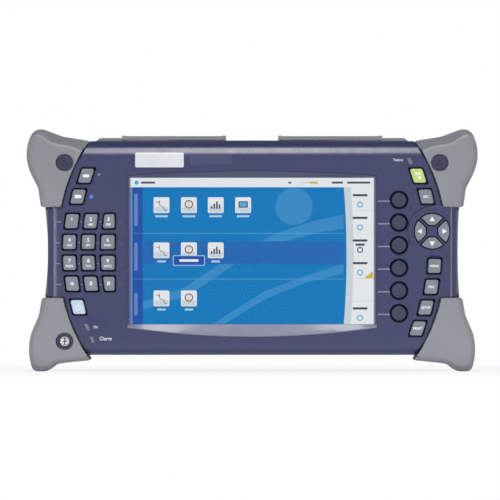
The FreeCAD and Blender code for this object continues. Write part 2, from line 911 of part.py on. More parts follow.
def lower_bumper_outline(side):
    """The lower corner seen from the front, with the small flat foot that the unit stands on."""
    inner, outer, end, corner = bumper_ends(-1)
    wide = "overall_width/2"
    foot_inner, foot_outer = f"{wide} - 10.4 - foot_width/2", f"{wide} - 10.4 + foot_width/2"
    corners = [
        (inner, corner),
        (f"{wide} - 29.3", "6.3"),
        (f"{wide} - 22.1", "5.2"),
        (f"{wide} - 17.2", "1.46", tangent_radius("6.8 - foot_width/2", "1.46"), -1),
        (foot_inner, "0"),
        (foot_outer, "0", tangent_radius("6.5 - foot_width/2", "2.7"), -1),
        (f"{wide} - 3.9", "2.7", tangent_radius("13.2", "2.1"), -1),
        (f"{wide} - 1.8", "15.9", tangent_radius("11.9", "1.7"), -1),
        (f"{wide} - 3.5", "27.8"),
        (f"{wide} - 8.8", "40.1"),
        (f"{wide} - 11", end),
        (outer, end, "bumper_edge_radius", 1),
    ]
    return mirrored(corners, side)


BUMPER_FRONT, BUMPER_BACK = "(-overall_depth/2)", "(overall_depth/2)"
FIXINGS = [(side, z) for z in ("fixing_top", "fixing_low") for side in (-1, 1)]
SEAT = "(-face_depth + bumper_recess)"
HEAD_FRONT = f"({SEAT} - screw_head_height)"


def make_bumper(upright, side, core, hole_front):
    """One rubber corner. It wraps the case from front to back and has a hole over the case screw."""
    name = f"bumper_{'top' if upright > 0 else 'bottom'}_{'right' if side > 0 else 'left'}"
    outline = upper_bumper_outline(side) if upright > 0 else lower_bumper_outline(side)
    lobe = new_body(f"{name}_lobe")
    pad(lobe, "solid", [outline], "front", BUMPER_FRONT, BUMPER_BACK)
    inner, outer, end, corner = (amount(size) for size in bumper_ends(upright))

    def outer_edge(edge):
        if runs_along(edge, "y") or not (at_y(edge, amount(BUMPER_FRONT)) or at_y(edge, amount(BUMPER_BACK))):
            return False
        box = edge.BoundBox
        on_end = abs(box.ZMin - end) < 1e-5 and abs(box.ZMax - end) < 1e-5
        nearest = min(abs(vertex.X) for vertex in edge.Vertexes)
        farthest = max(abs(vertex.X) for vertex in edge.Vertexes)
        steep = box.ZLength > 0.5 * (farthest - nearest)
        on_inner_side = nearest < inner + 0.01 and farthest < outer + 0.01 and steep
        return not on_end and not on_inner_side

    if upright > 0:
        rounded(lobe, "round", "bumper_round", outer_edge)
    else:
        rounded(lobe, "bevel", "low_bumper_bevel", outer_edge, "Chamfer")
    x, height = f"{side}*fixing_x", "fixing_top" if upright > 0 else "fixing_low"
    hole = prism(f"{name}_hole", [disc(x, height, "bumper_hole")], "front", hole_front, "-parting_depth")
    return sub_part(cut(name, lobe, joined(f"{name}_room", core, hole)), name)


def make_bumper_plugs():
    """Two caps over the upper case screws and an open collar round the lower left one."""
    plugs = []
    front = f"({BUMPER_FRONT} + plug_sink)"
    outer = "bumper_hole - 2*bumper_plug_fit"
    places = (("left", -1, "fixing_top"), ("right", 1, "fixing_top"), ("low", -1, "fixing_low"))
    for name, side, height in places:
        x = f"{side}*fixing_x"
        plug = new_body(f"{name}_plug")
        ring = [disc(x, height, outer), disc(x, height, "screw_head + 2*screw_play")]
        pad(plug, "ring", ring, "front", front, SEAT)
        if height == "fixing_top":
            pad(plug, "cap", [disc(x, height, outer)], "front", front, f"{front} + plug_thickness")
        plugs.append(plug)
    return sub_part(group("plugs", *plugs), "bumper_plugs")


def slotted_screw(name, x, height, front, size, length):
    """A pan-head screw that looks out of the front; size is (head, head height, shank)."""
    head, head_height, shank = size
    screw = new_body(name)
    pad(screw, "head", [disc(x, height, head)], "front", front, f"{front} + {head_height}")
    rounded(screw, "crown", "0.5", lambda edge: at_y(edge, amount(front)))
    half = "slot_width/2"
    slot = rectangle(f"{x} - {head}", f"{height} - {half}", f"{x} + {head}", f"{height} + {half}")
    pocket(screw, "slot", [slot], "front", front, f"{front} + slot_depth")
    under = f"({front} + {head_height})"
    pad(screw, "shank", [disc(x, height, shank)], "front", under, f"{under} + {length}")
    return screw


def make_case_screws():
    """Four long screws through the front cover's posts and four short ones that hold the chassis."""
    size = ("screw_head", "screw_head_height", "screw_diameter")
    screws = []
    for number, (side, height) in enumerate(FIXINGS, 1):
        name = f"case_screw_{number}"
        screws.append(slotted_screw(name, f"{side}*fixing_x", height, HEAD_FRONT, size, "screw_length"))
    start = "(-chassis_depth + chassis_thickness)"
    for number, (side, height) in enumerate([(s, z) for z in ("stud_top", "stud_low") for s in (-1, 1)], 1):
        x = f"{side}*stud_x"
        head = rod(f"stud_head_{number}", "screw_head", (x, start, height), "screw_head_height", "y")
        tip = f"({start} - short_screw_length)"
        shank = rod(f"stud_shank_{number}", "screw_diameter - 1", (x, tip, height), "short_screw_length", "y")
        screws.append(joined(f"stud_screw_{number}", head, shank))
    return sub_part(group("screws", *screws), "case_screws")


# ---------------------------------------------------------------- front cover

STUDS = [(f"{side}*stud_x", height) for height in ("stud_top", "stud_low") for side in (-1, 1)]
LAMPS = [("-117.9", "31.5"), ("-114.2", "22.6"), ("113", "150.2")]


def lamp_loop(place, grow):
    """A leaning window for a status lamp, grown on every side."""
    x, height = place
    half, rise = f"(lamp_width/2 + {grow})", f"(lamp_height/2 + {grow})"
    lean = "0.35" if amount(height) > amount("key_arc_height") else "-0.35"
    lean = lean if amount(x) < 0 else f"(-1*({lean}))"
    return [
        (f"{x} - {half} - {lean}*{rise}", f"{height} - {rise}"),
        (f"{x} + {half} - {lean}*{rise}", f"{height} - {rise}"),
        (f"{x} + {half} + {lean}*{rise}", f"{height} + {rise}"),
        (f"{x} - {half} + {lean}*{rise}", f"{height} + {rise}"),
    ]


def make_status_leds():
    """Three light windows that sit in the cover from behind."""
    lamps = []
    for number, place in enumerate(LAMPS, 1):
        lamp = new_body(f"lamp_{number}")
        back = f"({WINDOW_FRONT} + 1)"
        pad(lamp, "window", [lamp_loop(place, "0")], "front", "(-face_depth + 0.1)", back)
        pad(lamp, "flange", [lamp_loop(place, "lamp_flange")], "front", f"({WINDOW_FRONT} + lamp_seat)", back)
        lamps.append(lamp)
    return sub_part(group("lamps", *lamps), "status_leds")


def seal_groove():
    """The room for the seal, half in each cover."""
    loops = [case_outline("(seal_inset - seal_fit)"), case_outline("(seal_inset + seal_width + seal_fit)")]
    half = "(seal_height/2 + seal_fit)"
    return prism("seal_groove", loops, "front", f"-parting_depth - {half}", f"-parting_depth + {half}")


def make_body_seal():
    """A square-section cord between the covers."""
    seal = new_body("seal")
    loops = [case_outline("seal_inset"), case_outline("(seal_inset + seal_width)")]
    half = "seal_height/2"
    pad(seal, "cord", loops, "front", f"-parting_depth - {half}", f"-parting_depth + {half}")
    return sub_part(seal, "body_seal")


def make_pod(full):
    """The low island that the direction pad stands on; it runs out to the right side of the case."""
    raised = DOC.addObject("Part::MultiCommon", "raised_form")
    raised.Shapes = full.Shapes
    bind(raised, "Placement.Base.y", "-pod_rise")
    low, high = "(pad_height - pod_radius)", "(pad_height + pod_radius)"
    outline = [
        ("pad_x", low),
        ("body_width/2", low),
        ("body_width/2", high),
        ("pad_x", high, "pod_radius", -1),
        ("pad_x - pod_radius", "pad_height", "pod_radius", -1),
    ]
    island = prism("pod_outline", [outline], "front", "-overall_depth", WINDOW_FRONT)
    return shared("pod", raised, island)


def make_front_cover(outer, cavity, groove, full):
    """The blue front half: wells for the keys, an opening for the screen and posts for the screws."""
    half = block(
        "front_half",
        ("-overall_width", "-overall_depth", "-overall_height"),
        ("overall_width", "-parting_depth", "2*overall_height"),
    )
    shell = cut("front_shell", shared("front_solid", outer, half), cavity)
    posts = [disc(f"{side}*fixing_x", z, "post_diameter") for side, z in FIXINGS]
    studs = [disc(x, z, "stud_diameter") for x, z in STUDS]
    added = joined(
        "front_added",
        shell,
        prism("front_posts", posts, "front", f"{SEAT} + 1", "-parting_depth"),
        prism("front_studs", studs, "front", "-face_depth + 2", "-chassis_depth"),
        make_pod(full),
    )
    wells = {}
    for kind, *place in KEYS.values():
        wells.setdefault(kind, []).append(key_loop(kind, place, well_gap(kind), well_gap(kind)))
    tools = [
        prism(f"{kind}_wells", loops, "front", "-overall_depth", f"{WINDOW_FRONT} + 1")
        for kind, loops in wells.items()
    ]
    lamp_holes = [lamp_loop(place, "lamp_fit") for place in LAMPS]
    tools.append(prism("lamp_holes", lamp_holes, "front", "-overall_depth", f"{WINDOW_FRONT} + 0.3"))
    tools.append(prism("screen_hole", [frame_outline("fit")], "front", "-overall_depth", f"{WINDOW_FRONT} + 1"))
    bores = [disc(f"{side}*fixing_x", z, "screw_diameter + 2*screw_play") for side, z in FIXINGS]
    tools.append(prism("front_bores", bores, "front", "-overall_depth", "0"))
    pilots = [disc(x, z, "screw_diameter - 1") for x, z in STUDS]
    tools.append(prism("stud_bores", pilots, "front", "-chassis_depth - short_screw_length", "0"))
    tools.append(groove)
    cover = cut("front_cover_solid", added, joined("front_tools", *tools))
    return sub_part(cover, "front_cover")


# ---------------------------------------------------------------- boards and chassis


def chamfered(half_width, low, high, corner):
    """A plate outline with cut corners."""
    return [
        (f"-({half_width} - {corner})", low),
        (f"{half_width} - {corner}", low),
        (half_width, f"{low} + {corner}"),
        (half_width, f"{high} - {corner}"),
        (f"{half_width} - {corner}", high),
        (f"-({half_width} - {corner})", high),
        (f"-({half_width})", f"{high} - {corner}"),
        (f"-({half_width})", f"{low} + {corner}"),
    ]


def make_key_board():
    """The board behind the keys and the display."""
    board = new_body("keys_board")
    outline = chamfered("board_width/2", "board_bottom", "board_top", "board_corner")
    pad(board, "plate", [outline], "front", "-key_board_depth", "-key_board_depth + board_thickness")
    return sub_part(board, "key_board")


def make_chassis():
    """A metal plate on the front cover's studs, with standoffs for a board on either side."""
    chassis = new_body("frame_plate")
    plate = chamfered("chassis_width/2", "chassis_bottom", "chassis_top", "board_corner/2")
    front, back = "(-chassis_depth)", "(-chassis_depth + chassis_thickness)"
    holes = [disc(x, z, "screw_diameter - 1 + 2*screw_play") for x, z in STUDS]
    pad(chassis, "plate", [plate, *holes], "front", front, back)
    key_board_back = "(-key_board_depth + board_thickness)"
    spots = [(x, z) for x in ("-100", "0", "100") for z in ("board_bottom + 10", "board_top - 10")]
    pad(chassis, "front_standoffs", [disc(x, z, "6") for x, z in spots], "front", key_board_back, front)
    spots = [(x, z) for x in ("-106", "0", "106") for z in ("main_board_bottom + 8", "main_board_top - 12")]
    pad(chassis, "rear_standoffs", [disc(x, z, "6") for x, z in spots], "front", back, "(-main_board_depth)")
    return sub_part(chassis, "chassis")


MAIN_BOARD_BACK = "(-main_board_depth + board_thickness)"


def make_main_board():
    """The processor board, with shields, chips and the socket that the module plugs into."""
    board = new_body("processor_board")
    outline = rectangle("-main_board_width/2", "main_board_bottom", "main_board_width/2", "main_board_top")
    pad(board, "plate", [outline], "front", "-main_board_depth", MAIN_BOARD_BACK)
    chips = [
        rectangle("-88", "60", "-48", "92"),
        rectangle("-30", "56", "-8", "78"),
        rectangle("34", "64", "84", "100"),
        rectangle("-84", "108", "-62", "124"),
    ]
    pad(board, "chips", chips, "front", MAIN_BOARD_BACK, f"{MAIN_BOARD_BACK} + 4")
    wide, tall = "(plug_width/2 + 3)", "(plug_height/2 + 3)"
    socket = rectangle(f"-{wide}", f"plug_middle - {tall}", wide, f"plug_middle + {tall}")
    pad(board, "socket", [socket], "front", MAIN_BOARD_BACK, "(plug_end + 6)")
    wide, tall = "(plug_width/2 + fit)", "(plug_height/2 + fit)"
    slot = rectangle(f"-{wide}", f"plug_middle - {tall}", wide, f"plug_middle + {tall}")
    pocket(board, "slot", [slot], "front", "(plug_end - 1)", "(plug_end + 6)")
    return sub_part(board, "main_board")


# ---------------------------------------------------------------- rear cover

MODULE_HALF = "(module_width/2 + module_fit)"
BAY_BOTTOM = "(module_bottom - module_fit)"
STAND_AXIS_BACK = "(stand_recess + 0.4 + stand_thickness/2)"
STAND_OUTER = "(stand_x + stand_bar/2)"
STAND_INNER = "(stand_x - stand_bar/2)"
DOOR_BOTTOM = "(deck_height + door_gap)"
DOOR_AXIS_HEIGHT = "(deck_height + door_gap + door_thickness/2)"
DOOR_AXIS = ("door_axis_back", DOOR_AXIS_HEIGHT)
BAY_MIDDLE_BACK = "((bay_back - bay_front)/2)"


def across(side, inner, outer):
    """The low and high X of something between two distances from the middle, on one side."""
    return (inner, outer) if side > 0 else (f"-1*({outer})", f"-1*({inner})")


def deck_outline(side):
    """The flat under a door with the raised shoulder beyond it, seen from the front."""
    low = "(bay_floor + 10)"
    corners = [
        ("door_inner - 0.4", low),
        ("shoulder_end", low),
        ("shoulder_end", "deck_height - 1.2"),
        ("shoulder_end - 4", "shoulder_height"),
        ("door_outer + 0.4", "shoulder_height"),
        ("door_outer + 0.4", "deck_height"),
        ("door_inner - 0.4", "deck_height"),
    ]
    return mirrored(corners, side)


def stand_channel(name, grow, front):
    """The U-shaped room for the folded stand, grown for its walls."""
    outer, inner = f"({STAND_OUTER} + stand_play + {grow})", f"({STAND_INNER} - stand_play - {grow})"
    foot = f"(stand_foot - stand_play - {grow})"
    top = f"(stand_axis_height + stand_thickness/2 + stand_play + {grow})"
    bar = f"(stand_foot + stand_bar + stand_play + {grow})"
    outline = [
        (f"-{outer}", foot),
        (outer, foot),
        (outer, top),
        (inner, top),
        (inner, bar),
        (f"-{inner}", bar),
        (f"-{inner}", top),
        (f"-{outer}", top),
    ]
    return prism(name, [outline], "front", front, "overall_depth")


def make_rear_walls(outer):
    """The walls inside the rear cover: module bay, connector bays, stand channel, posts and stand bosses."""
    walls = [
        block(
            "module_bay",
            (f"-({MODULE_HALF} + module_wall)", "module_seat - case_wall", f"{BAY_BOTTOM} - module_wall"),
            (f"{MODULE_HALF} + module_wall", "overall_depth", "overall_height"),
        ),
        stand_channel("stand_walls", "module_wall", "stand_recess - module_wall"),
    ]
    for side, name in ((-1, "left"), (1, "right")):
        low, high = across(side, "bay_inner - bay_wall", "bay_outer + bay_wall")
        walls.append(
            block(
                f"{name}_bay",
                (low, "-bay_front - bay_wall", "bay_floor - bay_wall"),
                (high, "bay_back + bay_wall", "overall_height"),
            )
        )
        low, high = across(side, STAND_OUTER, f"{STAND_OUTER} + stand_pin_length + 2.5")
        walls.append(
            block(
                f"{name}_stand_boss",
                (low, "stand_recess - module_wall", "stand_axis_height - 6"),
                (high, "overall_depth", "stand_axis_height + 6"),
            )
        )
    posts = [disc(f"{side}*fixing_x", z, "post_diameter") for side, z in FIXINGS]
    walls.append(prism("rear_posts", posts, "front", "-parting_depth", "back_depth - bumper_recess - 1"))
    return shared("rear_walls", joined("rear_wall_blocks", *walls), outer)


def make_deck(side, name):
    """The door's deck, shoulder and hinge ears on one side of the top."""
    deck = prism(f"{name}_deck", [deck_outline(side)], "front", "-parting_depth", "module_seat")
    ears = []
    back, height = DOOR_AXIS
    for number, start in enumerate(("door_inner", "door_outer - ear_width"), 1):
        low, high = across(side, start, f"{start} + ear_width")
        ear = rod(f"{name}_ear_{number}", "ear_diameter", (low, back, height), "ear_width", "x")
        base = block(
            f"{name}_ear_base_{number}",
            (low, f"{back} - ear_diameter/2", "deck_height - 2"),
            (high, f"{back} + ear_diameter/2", height),
        )
        ears += [ear, base]
    hole_low, _ = across(side, "door_inner - 1", "door_outer + 0.2")
    pin_hole = rod(
        f"{name}_pin_hole",
        "door_pin_diameter + 2*pin_play",
        (hole_low, back, height),
        "door_outer - door_inner + 1.2",
        "x",
    )
    return [deck, *ears], pin_hole


def make_rear_cover(outer, cavity, groove):
    """The grey rear half with the module bay, the two connector bays and the stand's channel."""
    half = block(
        "rear_half",
        ("-overall_width", "-parting_depth", "-overall_height"),
        ("overall_width", "overall_depth", "2*overall_height"),
    )
    shell = cut("rear_shell", shared("rear_solid", outer, half), cavity)
    added = [shell, make_rear_walls(outer)]
    tools = [
        groove,
        block(
            "module_room",
            (f"-{MODULE_HALF}", "module_seat", BAY_BOTTOM),
            (MODULE_HALF, "overall_depth", "2*overall_height"),
        ),
        stand_channel("stand_room", "0", "stand_recess"),
    ]
    for side, name in ((-1, "left"), (1, "right")):
        solids, pin_hole = make_deck(side, name)
        added += solids
        low, high = across(side, "bay_inner", "bay_outer")
        room = block(
            f"{name}_bay_room",
            (low, "-bay_front", "bay_floor"),
            (high, "bay_back", "2*overall_height"),
        )
        tools += [pin_hole, room]
    reach = f"({STAND_OUTER} + stand_pin_length + 0.4)"
    back, height = STAND_AXIS_BACK, "stand_axis_height"
    tools.append(rod("stand_pin_hole_left", "stand_pin_diameter + 0.3", (f"-{reach}", back, height), "12", "x"))
    tools.append(rod("stand_pin_hole_right", "stand_pin_diameter + 0.3", (f"{reach} - 12", back, height), "12", "x"))
    wide, tall = "(plug_width/2 + 1.5)", "(plug_height/2 + 1.5)"
    slot = rectangle(f"-{wide}", f"plug_middle - {tall}", wide, f"plug_middle + {tall}")
    tips = [disc(f"{s}*thumb_screw_x", "thumb_screw_height", "screw_diameter + 2*screw_play") for s in (-1, 1)]
    tools.append(prism("module_openings", [slot, *tips], "front", "0", "module_seat + 1"))
    pilots = [disc(f"{side}*fixing_x", z, "screw_diameter + pin_play") for side, z in FIXINGS]
    tools.append(prism("rear_pilots", pilots, "front", "-overall_depth", f"{SEAT} + screw_length + 0.5"))
    slots = []
    for number in range(-2, 3):
        z = f"(speaker_height + {number}*grille_pitch)"
        reach = f"(speaker_diameter/2 - {1 + abs(number)})"
        left, right = f"speaker_x - {reach}", f"speaker_x + {reach}"
        slots.append(rectangle(left, f"{z} - grille_slot/2", right, f"{z} + grille_slot/2"))
    tools.append(prism("grille", slots, "front", "back_depth - 4", "overall_depth"))
    jack = block(
        "jack_hole",
        ("-jack_x - jack_width/2 - fit", f"{MAIN_BOARD_BACK} - fit", "bay_floor - 4"),
        ("-jack_x + jack_width/2 + fit", f"{MAIN_BOARD_BACK} + jack_width + fit", "bay_floor + 1"),
    )
    stack = block(
        "stack_hole",
        ("stack_x - stack_width/2 - fit", f"{MAIN_BOARD_BACK} - fit", "bay_floor - 4"),
        ("stack_x + stack_width/2 + fit", f"{MAIN_BOARD_BACK} + stack_depth + fit", "bay_floor + 1"),
    )
    cover = cut("rear_cover_solid", joined("rear_added", *added), joined("rear_tools", *tools, jack, stack))
    return sub_part(cover, "rear_cover")


# ---------------------------------------------------------------- doors, connectors and battery


def make_door(side, name):
    """A flat door over one connector bay, with a knuckle between the ears and a pin at each end."""
    back, height = DOOR_AXIS
    low, high = across(side, "door_inner", "door_outer")
    top = f"({DOOR_BOTTOM} + door_thickness)"
    plate = block(f"{name}_plate", (low, "-door_front", DOOR_BOTTOM), (high, f"{back} - ear_diameter/2 - 0.4", top))
    inner, outer = "(door_inner + ear_width + pin_play)", "(door_outer - ear_width - pin_play)"
    low, high = across(side, inner, outer)
    web = block(f"{name}_web", (low, f"{back} - ear_diameter/2 - 1", DOOR_BOTTOM), (high, back, top))
    knuckle = rod(f"{name}_knuckle", "door_thickness", (low, back, height), f"{outer} - {inner}", "x")
    low, _ = across(side, f"({inner} - door_pin_length)", f"({outer} + door_pin_length)")
    length = f"{outer} - {inner} + 2*door_pin_length"
    pin = rod(f"{name}_pin", "door_pin_diameter", (low, back, height), length, "x")
    return sub_part(joined(f"{name}_door", plate, web, knuckle, pin), f"connector_door_{name}")


CONNECTOR_TOP = "(bay_floor + connector_proud)"


def make_dc_jack():
    """The power inlet in the left bay, standing on the main board."""
    left, right = "(-jack_x - jack_width/2)", "(-jack_x + jack_width/2)"
    back = f"({MAIN_BOARD_BACK} + jack_width)"
    low = (left, MAIN_BOARD_BACK, f"{CONNECTOR_TOP} - jack_length")
    shell = block("jack_shell", low, (right, back, CONNECTOR_TOP))
    middle = f"({MAIN_BOARD_BACK} + jack_width/2)"
    floor = f"({CONNECTOR_TOP} - jack_bore_depth)"
    bore = rod("jack_bore", "jack_bore", ("-jack_x", middle, floor), "jack_bore_depth + 1", "z")
    pin = rod("jack_pin", "jack_pin", ("-jack_x", middle, f"{floor} - 1"), "jack_bore_depth", "z")
    return sub_part(joined("jack", cut("jack_body", shell, bore), pin), "dc_jack")


def make_stack():
    """The network and USB sockets in the right bay, standing on the main board."""
    left, right = "(stack_x - stack_width/2)", "(stack_x + stack_width/2)"
    front, back = MAIN_BOARD_BACK, f"({MAIN_BOARD_BACK} + stack_depth)"
    low = (left, front, f"{CONNECTOR_TOP} - stack_length")
    shell = block("stack_shell", low, (right, back, CONNECTOR_TOP))
    network = block(
        "network_room",
        ("stack_x - 5.9", f"{front} + 1", f"{CONNECTOR_TOP} - 13"),
        ("stack_x + 5.9", f"{front} + 7.6", f"{CONNECTOR_TOP} + 1"),
    )
    bus = block(
        "bus_room",
        ("stack_x - 6.3", f"{front} + 8.8", f"{CONNECTOR_TOP} - 12"),
        ("stack_x + 6.3", f"{front} + 13.9", f"{CONNECTOR_TOP} + 1"),
    )
    tongue = block(
        "bus_tongue",
        ("stack_x - 5", f"{front} + 10", f"{CONNECTOR_TOP} - 13"),
        ("stack_x + 5", f"{front} + 11.8", f"{CONNECTOR_TOP} - 1.5"),
    )
    hollowed = cut("stack_body", shell, joined("stack_rooms", network, bus))
    return sub_part(joined("stack", hollowed, tongue), "lan_usb_connector")


def make_battery():
    """The battery pack under the module bay."""
    battery = new_body("battery")
    low = "(body_bottom + case_wall + fit)"
    outline = chamfered("pack_width/2", low, f"{low} + pack_height", "2")
    pad(battery, "block", [outline], "front", "pack_front", "pack_back")
    return sub_part(battery, "battery_pack")


def make_loudspeaker():
    """A small round loudspeaker behind the grille in the rear cover."""
    speaker = new_body("speaker")
    back = "(back_depth - case_wall - 0.1)"
    rim = f"({back} - speaker_rim)"
    pad(speaker, "basket", [disc("speaker_x", "speaker_height", "speaker_diameter")], "front", rim, back)
    magnet = [disc("speaker_x", "speaker_height", "speaker_magnet")]
    pad(speaker, "magnet", magnet, "front", f"{rim} - speaker_magnet_depth", rim)
    cone = disc("speaker_x", "speaker_height", "speaker_diameter - 3")
    pocket(speaker, "cone", [cone], "front", f"{back} - 1.2", back)
    return sub_part(speaker, "loudspeaker")


def make_stand():
    """The wire-like prop stand: a U with rounded ends on two pins."""
    outer, inner = STAND_OUTER, STAND_INNER
    top, bar = "(stand_axis_height + stand_thickness/2)", "(stand_foot + stand_bar)"
    outline = [
        (f"-{outer}", "stand_foot"),
        (outer, "stand_foot"),
        (outer, top),
        (inner, top),
        (inner, bar),
        (f"-{inner}", bar),
        (f"-{inner}", top),
        (f"-{outer}", top),
    ]
    half = "(stand_thickness/2)"
    front, back = f"({STAND_AXIS_BACK} - {half})", f"({STAND_AXIS_BACK} + {half})"
    profile = [
        (front, "stand_foot"),
        (back, "stand_foot"),
        (back, "stand_axis_height", half, -1),
        (STAND_AXIS_BACK, top, half, -1),
        (front, "stand_axis_height"),
    ]
    legs = prism("stand_legs", [outline], "front", front, back)
    side = prism("stand_profile", [profile], "side", "-overall_width", "overall_width")
    pins = []
    for name, start in (("left", f"(-{outer} - stand_pin_length)"), ("right", f"({outer} - 1)")):
        place = (start, STAND_AXIS_BACK, "stand_axis_height")
        pins.append(rod(f"stand_pin_{name}", "stand_pin_diameter", place, "stand_pin_length + 1", "x"))
    return sub_part(joined("stand", shared("stand_bail", legs, side), *pins), "prop_stand")


# ---------------------------------------------------------------- plug-in module

MODULE_FRONT = "(module_seat + fit)"
PORT_FLOOR = "port_bay_floor"
PORT_LEFT, PORT_RIGHT = "(port_x - port_bay_width/2)", "(port_x + port_bay_width/2)"
CAP_TOP = "(module_top - 0.1)"
CAP_AXIS = ("(port_bay_back - cap_play - cap_thickness/2)", f"({CAP_TOP} - cap_thickness/2)")


def make_module_case():
    """The module's shell: a tray open towards the bay, with bosses and a recessed optical port."""
    case = new_body("module_shell")
    half = "module_width/2"
    outline = rectangle(f"-{half}", "module_bottom", half, "module_top")
    pad(case, "block", [outline], "front", MODULE_FRONT, "back_depth")
    back, top = amount("back_depth"), amount("module_top")
    rounded(case, "round", "module_round", lambda edge: at_y(edge, back))
    wall = "module_wall"
    inside = rectangle(f"-({half} - {wall})", f"module_bottom + {wall}", f"{half} - {wall}", f"module_top - {wall}")
    pocket(case, "inside", [inside], "front", MODULE_FRONT, f"back_depth - {wall}")
    bay = rectangle(f"{PORT_LEFT} - {wall}", f"port_bay_floor - {wall}", f"{PORT_RIGHT} + {wall}", "module_top - 1")
    pad(case, "port_walls", [bay], "front", f"port_bay_front - {wall}", "back_depth - 1")
    room = rectangle(PORT_LEFT, "port_bay_front", PORT_RIGHT, "port_bay_back")
    pocket(case, "port_room", [room], "plan", "port_bay_floor", "module_top + 1")
    spots = [f"{side}*thumb_screw_x" for side in (-1, 1)]
    boss = [disc(x, "thumb_screw_height", "thumb_boss") for x in spots]
    pad(case, "bosses", boss, "front", MODULE_FRONT, "back_depth - 1")
    bore = [disc(x, "thumb_screw_height", "screw_diameter + 2*screw_play") for x in spots]
    pocket(case, "bores", bore, "front", MODULE_FRONT, "back_depth")
    sink = [disc(x, "thumb_screw_height", "thumb_head + 1") for x in spots]
    pocket(case, "sinks", sink, "front", "back_depth - thumb_head_height - 0.6", "back_depth")
    back, height = CAP_AXIS
    bore = disc(back, height, "door_pin_diameter + 2*pin_play")
    start = f"{PORT_LEFT} - cap_pin_length - 0.2"
    hinge = body_sketch(case, "cap_hinge_sketch", [bore], "side", start)
    holes = case.newObject("PartDesign::Pocket", "cap_hinge")
    holes.Profile = hinge
    holes.Reversed = True
    bind(holes, "Length", "port_bay_width + 2*cap_pin_length + 0.4")
    neck = [disc("port_x", PORT_MIDDLE, "barrel_diameter + 2*fit")]
    pocket(case, "port_neck", neck, "plan", "port_bay_floor - module_wall - 1", "port_bay_floor + 1")
    return sub_part(case, "module_case")


PORT_MIDDLE = "((port_bay_front + port_bay_back)/2 - 1)"


def make_optical_port():
    """The optical adapter: a flange on the port bay's floor and a barrel with a ferrule bore."""
    port = new_body("port")
    top = "(port_bay_floor + port_flange_height + barrel_height)"
    flange = disc("port_x", PORT_MIDDLE, "port_flange")
    pad(port, "flange", [flange], "plan", PORT_FLOOR, f"{PORT_FLOOR} + port_flange_height")
    pad(port, "barrel", [disc("port_x", PORT_MIDDLE, "barrel_diameter")], "plan", f"{PORT_FLOOR} - 8", top)
    pocket(port, "socket", [disc("port_x", PORT_MIDDLE, "barrel_diameter - 2.4")], "plan", f"{top} - 5", top)
    sleeve = disc("port_x", PORT_MIDDLE, "ferrule_bore + 1.6")
    pad(port, "sleeve", [sleeve], "plan", f"{top} - 6", f"{top} - 1.5")
    pocket(port, "bore", [disc("port_x", PORT_MIDDLE, "ferrule_bore")], "plan", f"{top} - 9", top)
    return sub_part(port, "optical_port")


def make_module_board():
    """The optical board in the module, with the plug that reaches the main board's socket."""
    board = new_body("optics_board")
    half = "module_board_width/2"
    outline = rectangle(f"-{half}", "module_board_bottom", half, "module_board_top")
    back = "module_board_back"
    pad(board, "plate", [outline], "front", f"({back} - board_thickness)", back)
    boxes = [
        rectangle("-70", "60", "-10", "110"),
        rectangle("20", "70", "74", "124"),
        rectangle("-60", "118", "-20", "134"),
    ]
    pad(board, "boxes", boxes, "front", back, f"({back} + 12)")
    low, high = "plug_middle - plug_height/2", "plug_middle + plug_height/2"
    plug = rectangle("-plug_width/2", low, "plug_width/2", high)
    pad(board, "plug", [plug], "front", "plug_end", f"({back} - board_thickness)")
    levels = ("module_board_bottom + 5", "module_board_top - 5")
    corners = [(x, z) for x in (f"(-{half} + 5)", f"({half} - 5)") for z in levels]
    pad(board, "pillars", [disc(x, z, "6") for x, z in corners], "front", back, "back_depth - module_wall")
    return sub_part(board, "module_board")


def make_module_screws():
    """Two captive screws that hold the module in its bay."""
    screws = []
    for side, name in ((-1, "left"), (1, "right")):
        x, height = f"{side}*thumb_screw_x", "thumb_screw_height"
        screw = new_body(f"{name}_thumb_screw")
        head_front = "(back_depth - thumb_head_height - 0.3)"
        pad(screw, "head", [disc(x, height, "thumb_head")], "front", head_front, "back_depth - 0.3")
        back = amount("back_depth - 0.3")
        rounded(screw, "crown", "0.6", lambda edge: at_y(edge, back))
        half = "slot_width/2"
        slot = rectangle(f"{x} - thumb_head", f"{height} - {half}", f"{x} + thumb_head", f"{height} + {half}")
        pocket(screw, "slot", [slot], "front", "back_depth - 0.3 - slot_depth", "back_depth")
        pad(screw, "shank", [disc(x, height, "screw_diameter")], "front", "thumb_tip", head_front)
        screws.append(screw)
    return sub_part(group("thumb_screws", *screws), "module_screws")


def make_port_cap():
    """The flap over the optical port, with a rounded rear end on two pins."""
    back, height = CAP_AXIS
    low, high = f"({PORT_LEFT} + cap_play)", f"({PORT_RIGHT} - cap_play)"
    below = (low, "port_bay_front + cap_play", f"{CAP_TOP} - cap_thickness")
    plate = block("cap_plate", below, (high, back, CAP_TOP))
    end = rod("cap_end", "cap_thickness", (low, back, height), f"{high} - {low}", "x")
    start = f"({low} - cap_play - cap_pin_length)"
    pin = rod("cap_pin", "door_pin_diameter", (start, back, height), "port_bay_width + 2*cap_pin_length", "x")
    return sub_part(joined("cap", plate, end, pin), "port_cap")


# ---------------------------------------------------------------- assembly



